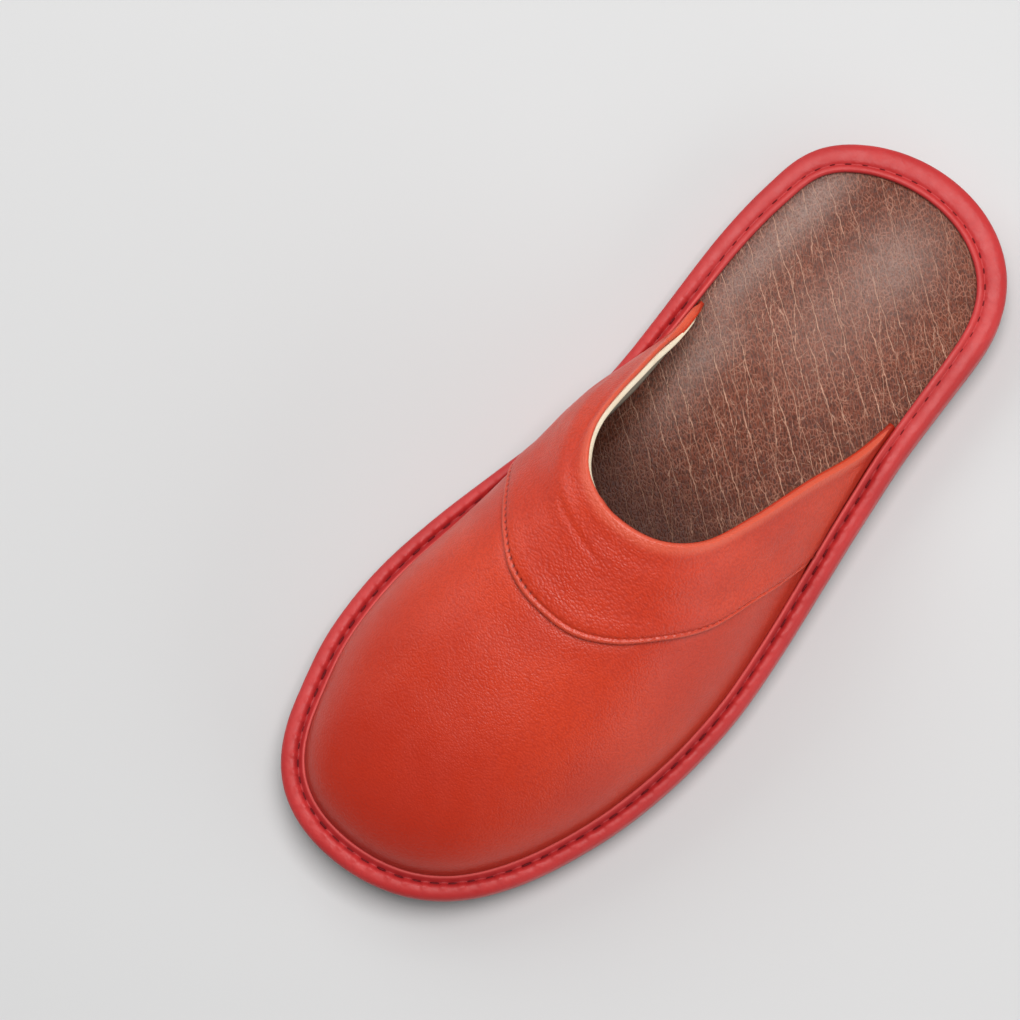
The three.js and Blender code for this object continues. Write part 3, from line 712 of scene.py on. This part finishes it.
def sole_rubber():
    """Dark brown microporous rubber with fine cross ribs on its tread."""
    shader = Shader("sole_rubber")
    cloud = shader.noise(12.0, detail=4.0)
    colour = shader.tint((0.030, 0.018, 0.015), (0.055, 0.034, 0.028), cloud, 0.35, 0.7)
    pores = shader.span(shader.noise(0.6, detail=2.0), 0.55, 0.75)
    normal = shader.bump(shader.math("SUBTRACT", 1.0, pores), 0.12, 0.7)
    ribs = shader.add("ShaderNodeTexWave", {"Vector": shader.stretched(0.0, (4.0, 4.0, 4.0)), "Scale": 0.32,
                                            "Distortion": 0.0}, bands_direction="Y").outputs["Fac"]
    ribs = shader.math("MULTIPLY", shader.span(ribs, 0.3, 0.7), shader.mark("tread"))
    normal = shader.bump(ribs, 0.7, 0.9, under=normal)
    return shader.set(Base_Color=colour, Roughness=0.78, Normal=normal)


def thread(name, colour, deep):
    """Twisted sewing thread."""
    shader = Shader(name)
    twist = shader.noise(0.35, detail=1.0)
    tone = shader.mix(twist, deep, colour)
    return shader.set(Base_Color=tone, Roughness=0.6, Normal=shader.bump(twist, 0.08, 0.8), IOR=1.3)


# Pieces. The insole and the sole have this many points round each ring.
SOLE_STATIONS = 420


def ring_points(where, distance, height, share=0.0):
    """A ring of points a distance inside the outline, shrunk by a share towards the middle line."""
    point = where["point"] - where["out"] * np.asarray(distance)[..., None]
    along = np.clip(where["point"][:, 1] / LENGTH, 0.14, 0.84)
    middle = np.stack([middle_x(along), along * LENGTH], -1)
    plan = point + (middle - point) * share
    return raised(plan, height(plan))


def sock_height(plan, share):
    """Height of the insole's face over a ring."""
    along = plan[:, 1] / LENGTH
    across = (plan[:, 0] - middle_x(along)) / BALL_WIDTH
    heel = bell(along - 0.15, 0.13)
    arch = bell(along - 0.4, 0.14) * bell(across - 0.3, 0.22)
    form = ease(share * 3) * (ARCH_RISE * arch - HEEL_SEAT_DEPTH * heel)
    wave = ease(share * 3) * 0.1 * ripple(raised(plan, 0), 22.0, 5)
    return platform(plan[:, 1]) + INSOLE_TOP + form + wave


def build_insole(material):
    where = even_stations(SOLE_STATIONS)
    edge = where["reach"] - CLEARANCE
    inside = where["reach"] + UPPER_INSET + UPPER_WALL
    rims = [(edge, CLEARANCE), (edge, INSOLE_TOP - INSOLE_ROUNDING), (edge + INSOLE_ROUNDING, INSOLE_TOP),
            (inside, INSOLE_TOP)]
    rows = [ring_points(where, inset, lambda p: platform(p[:, 1]) + height) for inset, height in rims]
    shares = 1 - np.linspace(1, 0, 46)[1:]
    rows += [ring_points(where, inside, lambda p: sock_height(p, share), share) for share in shares]
    grid = np.array(rows)
    # The last ring lies on the middle line, so it has no end face.
    faces = loft_faces(len(rows), SOLE_STATIONS)[:-1]
    weld(make_mesh("insole_leather_sock", grid, faces, material, stands_for=["insole"],
                   marks={"forward": grid[..., 1] / LENGTH, "painted_highlight": painted_highlight_places(grid)}))


# Painted grey highlights on the insole: along, share of the width from the middle, length, width, strength.
PAINTED_HIGHLIGHTS = [(0.11, 0.0, 0.055, 0.11, 0.5), (0.13, 0.28, 0.075, 0.06, 0.6), (0.24, 0.27, 0.06, 0.05, 0.4),
          (0.33, 0.2, 0.06, 0.07, 0.45), (0.21, 0.02, 0.07, 0.15, 0.26), (0.41, 0.16, 0.05, 0.07, 0.2)]


def painted_highlight_places(grid):
    along = grid[..., 1] / LENGTH
    across = (grid[..., 0] - middle_x(along)) / BALL_WIDTH
    total = np.zeros(along.shape)
    for at, side, long, wide, strength in PAINTED_HIGHLIGHTS:
        total += strength * bell(along - at, long) * bell(across - side, wide)
    return total


WELD = 0.00002
FINE_WELD = 0.000001


def weld(piece, distance=WELD):
    """Joins points within a distance in metres and turns all faces outwards."""
    mesh = bmesh.new()
    mesh.from_mesh(piece.data)
    bmesh.ops.remove_doubles(mesh, verts=mesh.verts, dist=distance)
    bmesh.ops.recalc_face_normals(mesh, faces=mesh.faces)
    mesh.to_mesh(piece.data)
    mesh.free()
    piece.data.polygons.foreach_set("use_smooth", [True] * len(piece.data.polygons))


def build_outsole(material):
    where = even_stations(SOLE_STATIONS)
    tread_groove = 0.7

    def under(plan):
        return spring(plan[:, 1]) + recess(plan[:, 1])

    bevel = TREAD_INSET + EDGE_BEVEL
    border = [(1.0, 0.0), (0.55, 0.0), (0.25, 0.0), (0.12, 0.0), (0.115, tread_groove), (0.085, tread_groove),
              (0.08, 0.0), (0.0, 0.0)]
    rows = [ring_points(where, bevel, lambda p: under(p) + depth, share) for share, depth in border]
    sides = [(TREAD_INSET + 0.25, 0.25), (TREAD_INSET, EDGE_BEVEL), (TREAD_INSET, TREAD_THICKNESS - 0.3),
             (TREAD_INSET + 0.3, TREAD_THICKNESS), (RAND_SKIN + CLEARANCE, TREAD_THICKNESS)]
    rows += [ring_points(where, inset, lambda p: np.maximum(under(p), spring(p[:, 1]) + height))
             for inset, height in sides]
    rows += [ring_points(where, RAND_SKIN + CLEARANCE, lambda p: platform(p[:, 1]), share)
             for share in (0.0, 0.5, 1.0)]
    grid = np.array(rows)
    faces = grid_faces(len(rows), SOLE_STATIONS, close_columns=True)
    marks = [float(share > 0.1) for share, _ in border] + [0.0] * (len(rows) - len(border))
    weld(make_mesh("sole_unit", grid, faces, material, stands_for=["outsole"],
                   marks={"tread": np.repeat(marks, SOLE_STATIONS)}))


def stitch_count():
    return int(round(PERIMETER / RAND_PITCH))


def stitch_phase(distance):
    """1 in the middle of each stitch of the rand and 0 between stitches."""
    pitch = PERIMETER / stitch_count()
    place = (distance / pitch) % 1 - 0.5
    return ease((RAND_STITCH / pitch / 2 + 0.09 - np.abs(place)) / 0.14)


# Height over the lip's base of the rand's lip and roll, at the open heel and beside the upper. Along is
# millimetres from the stitches on the lip, and a share of the rand's width on the roll.
LIP = {
    "along": [-2.4, -2.3, -2.05, -1.75, -1.4, -1.05, -0.7, -0.4, -0.15],
    "heel": [0.45, 0.95, 1.25, 1.42, 1.46, 1.4, 1.28, 1.05, 0.86],
    "fore": [0.8, 1.25, 1.55, 1.7, 1.55, 1.2, 0.88, 0.66, 0.55],
}
ROLL = {
    "along": [0, 0.04, 0.09, 0.16, 0.26, 0.4, 0.55, 0.7, 0.84, 0.93, 0.985, 1],
    "heel": [0.8, 1.02, 1.18, 1.3, 1.38, 1.42, 1.4, 1.22, 0.76, 0.15, -0.8, -1.8],
    "fore": [0.5, 0.64, 0.86, 1.12, 1.35, 1.44, 1.38, 1.14, 0.68, 0.08, -0.8, -1.8],
}
UPPER_BESIDE = (0.22, 0.32)


def beside_upper(y):
    """0 at the open heel and 1 where the upper stands inside the rand."""
    return ease((y / LENGTH - UPPER_BESIDE[0]) / (UPPER_BESIDE[1] - UPPER_BESIDE[0]))


def build_rand(material):
    """The folded leather rand: a lip, a stitched crease and a roll that puffs a little between stitches."""
    count = 1320
    where = even_stations(count)
    reach = where["reach"]
    y = where["point"][:, 1]
    deck = platform(y) + LIP_BASE
    foot = spring(y) + TREAD_THICKNESS + CLEARANCE
    fore = beside_upper(y)
    pull = stitch_phase(where["distance"])
    edge3 = raised(where["point"], deck)
    sway = 0.12 * ripple(edge3, 21.0, 11) + 0.05 * ripple(edge3, 8.0, 12)
    curl = (0.07 + 0.14 * fore) * ripple(edge3, 5.5, 21)
    join = rand_join(where["distance"])
    columns = []
    groove = []
    edge = []

    def add(out, z, dark=0.0, light=0.0):
        plan = where["point"] - where["out"] * (reach - out)[:, None]
        columns.append(raised(plan, z))
        groove.append(np.broadcast_to(dark, reach.shape))
        edge.append(np.broadcast_to(light, reach.shape))

    def height(section, place):
        return (1 - fore) * read(section, "heel", place) + fore * read(section, "fore", place)

    add(2 * CLEARANCE, deck - LIP_BASE + CLEARANCE)
    add(2 * CLEARANCE, deck + 0.02)
    add(LIP["along"][0] + 0.05, deck + 0.05)
    for out in np.linspace(LIP["along"][0], LIP["along"][-1], 16):
        near = bell(out, 0.6)
        crest = bell(out + 1.65, 0.7)
        z = height(LIP, out) + crest * 0.4 * sway - (0.08 + 0.14 * fore) * pull * near
        # Painted shade at the stitches and the lip's inner foot, painted highlight on the lip's crest.
        dark = (0.15 + 0.6 * fore) * bell(out, 0.4 + 0.5 * fore) + 0.4 * bell(out + 2.4, 0.25)
        light = (1 - fore) * 0.3 * bell(out + 1.3, 0.8) + fore * 1.2 * bell(out + 1.72, 0.42)
        add(out + 0.5 * sway * crest, deck + z, dark, light)
    for share in np.concatenate([np.linspace(0.02, 0.2, 8), np.linspace(0.25, 1, 18)]):
        out = reach * share
        puff = (0.07 + 0.24 * fore) * (1 - pull) * bell(out - 1.2, 1.0)
        puff = puff - (0.10 + 0.16 * fore) * pull * bell(out, 0.8)
        body = (sway + curl * bell(share, 0.3)) * (1 - share)
        # Painted shade in the stitch groove on the roll, painted highlight on the roll's crest.
        dark = (0.3 + 0.6 * fore) * bell(out, 0.25 + 0.6 * fore) * (0.35 + 0.65 * pull)
        z = height(ROLL, share) + puff + body + join * (1 - share**6)
        add(out + 0.12 * sway * share, deck + z, dark, 0.3 * bell(share - 0.45, 0.25))
    for share in np.linspace(0.12, 1.0, 8):
        top = deck + ROLL["heel"][-1]
        turned = 0.35 * ease((share - 0.8) / 0.2)
        add(reach - turned + 0.1 * sway * (1 - share), top + (foot - top) * share)
    add(reach - RAND_SKIN, foot)
    add(reach - RAND_SKIN, deck - LIP_BASE + CLEARANCE)
    grid = np.stack(columns, 1)
    faces = grid_faces(count, grid.shape[1], close_rows=True, close_columns=True)
    weld(make_mesh("rand_leather_edge", grid, faces, material, stands_for=["rand"],
                   marks={"groove": np.stack(groove, 1), "edge": np.stack(edge, 1)}))


JOIN_ALONG = 0.5
JOIN_STEP = 0.35
JOIN_FADE = 14


def rand_join(distance):
    """The small step where the rand's two ends lap at the inner waist."""
    inner = ANGLES[np.argmin(np.where(EDGE_OUTER, 9, np.abs(EDGE_ALONG - JOIN_ALONG)))]
    middle = np.interp(inner, ANGLES, EDGE_AT[:-1])
    gap = distance - middle
    return JOIN_STEP * np.where(gap > 0, ease(1 - gap / JOIN_FADE), 0) - 0.25 * bell(gap, 0.8)


def capsule_row(name, centres, alongs, ups, length, radius, sink, material):
    """Small arched thread stitches joined in one mesh."""
    sides = 8
    steps = 9
    t = np.linspace(-1, 1, steps)
    ring = np.linspace(0, 2 * np.pi, sides, endpoint=False)
    taper = np.sqrt(np.maximum(1 - np.abs(t) ** 5, 0.02))
    points = []
    faces = []
    lengths = np.broadcast_to(length, len(centres))
    radii = np.broadcast_to(radius, len(centres))
    for centre, ahead, up, length, radius in zip(centres, alongs, ups, lengths, radii):
        side = np.cross(ahead, up)
        spine = centre + ahead * (t[:, None] * length / 2) - up * (sink * t[:, None] ** 4)
        ringed = np.cos(ring)[None, :, None] * side + 0.75 * np.sin(ring)[None, :, None] * up
        faces.extend(loft_faces(steps, sides, len(points) * steps * sides))
        points.append((spine[:, None] + ringed * (radius * taper)[:, None, None]).reshape(-1, 3))
    weld(make_mesh(name, np.concatenate(points), faces, material), FINE_WELD)


def build_rand_stitches(material):
    count = stitch_count()
    pitch = PERIMETER / count
    where = stations((np.arange(count) + 0.5) * pitch)
    ahead = stations((np.arange(count) + 0.5) * pitch + 0.5)["point"] - where["point"]
    ahead = unit(raised(ahead, 0))
    plan = where["point"] - where["out"] * (where["reach"] - 0.12)[:, None]
    fore = beside_upper(where["point"][:, 1])
    z = platform(where["point"][:, 1]) + LIP_BASE + 0.72 - 0.26 * fore
    slope = (platform(plan[:, 1] + 1) - platform(plan[:, 1] - 1)) / 2
    ahead[:, 2] = slope * ahead[:, 1]
    centres = raised(plan, z)
    ups = np.tile([0.0, 0.0, 1.0], (count, 1))
    length = RAND_STITCH_HEEL + (RAND_STITCH - RAND_STITCH_HEEL) * fore
    radius = RAND_THREAD + 0.03 * fore
    random = np.random.default_rng(17)
    length = length * random.uniform(0.76, 1.08, count)
    centres[:, 2] -= random.uniform(0, 0.05 + 0.2 * fore)
    centres[:, :2] += where["out"] * (random.uniform(-0.1, 0.1, count) * (0.4 + fore))[:, None]
    capsule_row("rand_stitches", centres, ahead, ups, length, radius, 0.45, material)


def lip_gap(points):
    """Height in millimetres above the rand's lip."""
    return points[..., 2] - platform(points[..., 1]) - LIP_BASE - LIP_THICKNESS


def build_vamp(material):
    columns, rows = 380, 112
    plan, _ = upper_plan(columns, rows, 0.06)
    base = face(plan)
    normals = grid_normals(base)
    outer = moved(base, normals, upper_relief(base))
    step = seam_side(plan)
    dent = 0.3 * bell(step, 1.2) + 0.25 * ease(-step / 2)
    outer[:, 1:] -= (normals * dent[..., None])[:, 1:]
    inner = moved(base, normals, np.full(step.shape, -LEATHER))
    keep_above(inner)
    points = np.stack([outer, inner]).reshape(-1, 3)
    # Painted shade along the crease beside the overlay's seam, on the inner side only.
    crease = 0.35 * bell(step, 1.1) * ease((plan[..., 0] - 2) / 14)
    marks = {"lip_gap": lip_gap(points), "edge": np.zeros(len(points)), "forward": points[:, 1] / LENGTH,
             "seam_shade": np.pad(crease.reshape(-1), (0, crease.size))}
    make_mesh("vamp_leather", points, sheet_faces(columns, rows), material,
              stands_for=["upper"], marks=marks)


def moved(points, normals, depth):
    """Points moved outwards by a depth, and level along the foot line."""
    result = points + normals * depth[..., None]
    result[:, 0] = points[:, 0] + unit(normals[:, 0] * [1, 1, 0]) * depth[:, :1]
    return result


def keep_above(points, over=0.0):
    """Lifts points that lie lower than a height over the lip's base."""
    points[..., 2] = np.maximum(points[..., 2], platform(points[..., 1]) + LIP_BASE + over)


def seam_side(plan):
    """Distance in plan to the overlay's seam, positive towards the toe."""
    line = plan_of(*turn_curve(SEAM, np.linspace(0, 1, 160))[:2])
    order = np.argsort(line[:, 0])
    ahead = plan[..., 1] - np.interp(plan[..., 0], line[order, 0], line[order, 1])
    near = np.full(plan.shape[:-1], 1e9)
    for spot in line:
        near = np.minimum(near, np.linalg.norm(plan - spot, axis=-1))
    return np.where(ahead > 0, near, -near)


def shortened(lines, by):
    """Lines up the wall that end short of the collar, with their points closest there, and how far each
    point is from its line's end."""
    lengths = line_lengths(lines)
    total = lengths[:, -1:] - by[:, None]
    to_end = total * np.linspace(1, 0, lines.shape[1]) ** 1.4
    return np.array([points_at(*each) for each in zip(total - to_end, lengths, lines)]), to_end


# How far the lining ends short of the collar, and how much further where hidden.
LINING_SHORT = 0.4
LINING_HIDDEN = 2.8
CUFF_LENGTH = 5
CUFF_STEP = 0.98
CUFF_ROUNDING = 0.45


def build_lining(material):
    """The cream lining: an even rounded edge on the inner side of the collar, thinner further down."""
    columns, rows = 320, 100
    plan, shown = upper_plan(columns, rows, margin=2.5)
    x, y = plan[:, -1].T
    kept = ease((x - ridge_x(y) - 3) / 8) * ease((y / LENGTH - 0.296) / 0.02)
    base, to_end = shortened(face(plan), LINING_SHORT + LINING_HIDDEN * (1 - kept))
    normals = grid_normals(base)
    shown = shown[:, None]
    cuff = shown * ease(1 - to_end / CUFF_LENGTH)
    rounded = CUFF_ROUNDING * shown * (1 - np.sqrt(1 - np.clip(1 - to_end / 0.8, 0, 1) ** 2))
    outer_depth = LEATHER + 0.03 - CUFF_STEP * cuff + rounded
    inner_depth = UPPER_WALL - 0.5 * (1 - shown * ease((3.2 - to_end) / 2)) - rounded
    outer = moved(base, normals, -outer_depth)
    inner = moved(base, normals, -inner_depth)
    keep_above(outer)
    keep_above(inner)
    points = np.stack([outer, inner]).reshape(-1, 3)
    make_mesh("lining_leather", points, sheet_faces(columns, rows), material,
              marks={"down": np.tile(to_end.reshape(-1), 2)})


# The overlay's rolled rim reaches this far round the collar, and is thinner where the lining shows.
RIM_REACH = 0.9
RIM_HALF = 1.2
RIM_HALF_LINED = 0.62
RIM_TAPER = 0.025
SEAM_FINE = 3.6
SEAM_ROLL = 1.3
BAND_LEAST = 0.1


def band_frame(columns, shares):
    """Face points, outward normals and the direction towards the collar, for a grid over the overlay."""
    shares = np.broadcast_to(shares, (columns, np.shape(shares)[-1]))
    u = np.linspace(0, 1, columns)
    front, rear = (np.stack(turn_curve(rows, u)[:2])[..., None] for rows in (SEAM, COLLAR))
    base = face(plan_of(*(front + (rear - front) * shares)))
    back = np.gradient(base, axis=1)
    normals = unit(np.cross(np.gradient(base, axis=0), back))
    normals *= np.sign(normals[columns // 2, shares.shape[1] // 2, 2])
    return base, normals, unit(back)


def build_band(material):
    columns, rows = 420, 64
    even = np.linspace(0, 1, rows)
    lengths = line_lengths(band_frame(columns, even)[0])
    near = np.linspace(0, SEAM_FINE, 18)
    rest = np.linspace(0, 1, rows - 17)[1:]
    want = [np.concatenate([near, SEAM_FINE + (at[-1] - RIM_REACH - SEAM_FINE) * rest]) for at in lengths]
    shares = np.array([np.interp(w, at, even) for w, at in zip(want, lengths)])
    base, normals, back = band_frame(columns, shares)
    from_seam = line_lengths(base)
    to_collar = from_seam[:, -1:] - from_seam
    rise = np.clip(from_seam / SEAM_ROLL, 0, 1)
    over = 0.12 + SEAM_ROLL * np.sqrt(rise * (2 - rise))
    hole = bell(from_seam - SEAM_INSET, 0.5) * seam_phase(base)
    over -= bell(from_seam - SEAM_INSET, 0.6) * 0.3 + 0.35 * hole
    over += 0.25 * bell(from_seam - 5.0, 3.0) - 0.2 * bell(to_collar - 6.0, 3.0)
    over += upper_relief(base)
    u = np.linspace(0, 1, columns)
    end = ease(np.minimum(u, 1 - u) / RIM_TAPER)
    near_rim = bell(to_collar, 5.0)
    over = BAND_LEAST + (over - BAND_LEAST) * (1 - (1 - end[:, None]) * near_rim * 0.9)
    over = BAND_LEAST + (over - BAND_LEAST) * (0.35 + 0.65 * ease(lip_gap(base) / 5))
    face_points = base + normals * over[..., None]
    half = RIM_HALF + (RIM_HALF_LINED - RIM_HALF) * lining_shown(*turn_curve(COLLAR, u)[:2])
    half = (half * (0.2 + 0.8 * end))[:, None]
    middle = base[:, -1] + normals[:, -1] * (over[:, -1:] - half)
    angles = np.linspace(0, np.pi, 14)[1:]
    ring = [middle + half * np.cos(a) * normals[:, -1] + RIM_REACH * np.sin(a) * back[:, -1] for a in angles]
    under = (base + normals * 0.02)[:, ::-1][:, 4:]
    loop = np.concatenate([face_points, np.stack(ring, 1), under], 1)
    keep_above(loop, LIP_THICKNESS * 0.4)
    inner_half = ease(base[..., 0] / 16)
    # Painted highlight on the edge strip by the seam and, on the outer half, round the needle holes.
    seam_highlight = 0.5 * bell(from_seam - 0.9, 0.8) + 0.5 * hole * (1 - inner_half)
    # Painted highlight along the collar and over the whole rolled rim.
    edge = np.concatenate([bell(to_collar, 2.6) + seam_highlight, np.ones((columns, len(ring))),
                           np.zeros((columns, under.shape[1]))], 1)
    # Painted shade in the needle holes on the inner half.
    seam_shade = np.concatenate([hole * inner_half, np.zeros((columns, len(ring) + under.shape[1]))], 1)
    marks = {"lip_gap": lip_gap(loop), "edge": edge, "forward": loop[..., 1] / LENGTH, "seam_shade": seam_shade}
    weld(make_mesh("instep_band_leather", loop, loft_faces(columns, loop.shape[1]), material,
                   stands_for=["instep_band"], marks=marks), FINE_WELD)


def seam_phase(base):
    """1 at each needle hole along the overlay's seam."""
    lengths = line_lengths(base[:, 0])
    count = int(lengths[-1] / SEAM_PITCH)
    place = (lengths / (lengths[-1] / count)) % 1
    return np.maximum(bell(place, 0.19), bell(place - 1, 0.19))[:, None]


def build_seam_stitches(material):
    base, normals, back = (values[:, 0] for values in band_frame(600, np.array([0.0, 0.02, 0.04])))
    lengths = line_lengths(base)
    count = int(lengths[-1] / SEAM_PITCH)
    want = (np.arange(count) + 0.5) * lengths[-1] / count
    spots = points_at(want, lengths, base)
    ups = unit(points_at(want, lengths, normals))
    ahead = unit(points_at(want + 0.4, lengths, base) - spots)
    centres = spots + points_at(want, lengths, back) * SEAM_INSET
    centres += ups * (1.02 + upper_relief(spots)[:, None])
    capsule_row("seam_stitches", centres, ahead, ups, SEAM_STITCH, SEAM_THREAD, 0.3, material)


build_outsole(sole_rubber())
build_insole(insole_leather())
build_rand(rand_leather())
build_rand_stitches(thread("rand_thread", (0.18, 0.003, 0.006), (0.09, 0.001, 0.003)))
build_vamp(upper_leather("upper_leather", 0.56, 0.10, 1.35))
build_lining(lining_leather())
build_band(upper_leather("band_leather", 0.66, 0.14, 1.6))
build_seam_stitches(thread("seam_thread", (0.40, 0.03, 0.018), (0.22, 0.012, 0.008)))


# Floor, light and camera
def build_floor():
    mesh = bpy.data.meshes.new("floor")
    size = 3.0
    corners = [(-size, -size, 0), (size, -size, 0), (size, size, 0), (-size, size, 0)]
    mesh.from_pydata(corners, [], [(0, 1, 2, 3)])
    shader = Shader("floor_paint")
    tone = shader.mix(shader.noise(300.0, detail=2.0), (0.63, 0.63, 0.63), (0.65, 0.65, 0.65))
    mesh.materials.append(shader.set(Base_Color=tone, Roughness=0.9))
    floor = new_object("floor", mesh)


def soft_light(name, place, target, size, power):
    light = bpy.data.lights.new(name, "AREA")
    light.shape = "RECTANGLE"
    light.size, light.size_y = size
    light.energy = power
    lamp = new_object(name, light)
    lamp.location = place
    lamp.rotation_euler = (Vector(target) - Vector(place)).to_track_quat("-Z", "Y").to_euler()


def build_lights():
    world = bpy.data.worlds.new("studio")
    world.use_nodes = True
    sky = world.node_tree.nodes["Background"]
    sky.inputs["Color"].default_value = (1, 1, 1, 1)
    sky.inputs["Strength"].default_value = 0.20
    bpy.context.scene.world = world
    soft_light("overhead", (0.06, -0.33, 1.6), (0, 0, 0.02), (0.9, 0.9), 21)
    soft_light("inner_side", (1.05, -0.20, 0.85), (0, 0, 0.03), (1.3, 0.7), 6.2)
    soft_light("outer_side", (-1.25, -0.40, 0.50), (0, 0, 0.03), (1.8, 0.7), 6.3)


# The photo looks down on the slipper, tilted a little to its outer side and towards its toe.
PHOTO_SIZE = 1020
TILT_OUTER = np.radians(8.5)
TILT_TOE = np.radians(2.5)
ROLL = np.radians(44.89)
CAMERA_DISTANCE = 1150.0
PHOTO_MM_PER_PIXEL = 0.2969
AIM = (38.9, 162.3, 8.0)
SENSOR = 36.0


def build_camera():
    back = Vector((-np.tan(TILT_OUTER), np.tan(TILT_TOE), 1)).normalized()
    right = Vector((-np.sin(ROLL), -np.cos(ROLL), 0))
    right = (right - back * right.dot(back)).normalized()
    up = back.cross(right)
    aim = Vector((AIM[0] - MIDDLE[0], AIM[1] - MIDDLE[1], AIM[2]))
    place = (aim + back * CAMERA_DISTANCE) * MM
    data = bpy.data.cameras.new("camera")
    data.sensor_width = SENSOR
    data.lens = CAMERA_DISTANCE / (PHOTO_MM_PER_PIXEL * PHOTO_SIZE) * SENSOR
    data.clip_start = 0.01
    camera = new_object("camera", data)
    turn = Matrix((right, up, back)).transposed().to_4x4()
    camera.matrix_world = Matrix.Translation(place) @ turn
    bpy.context.scene.camera = camera


build_floor()
build_lights()
build_camera()
bpy.context.scene.view_settings.view_transform = "Standard"
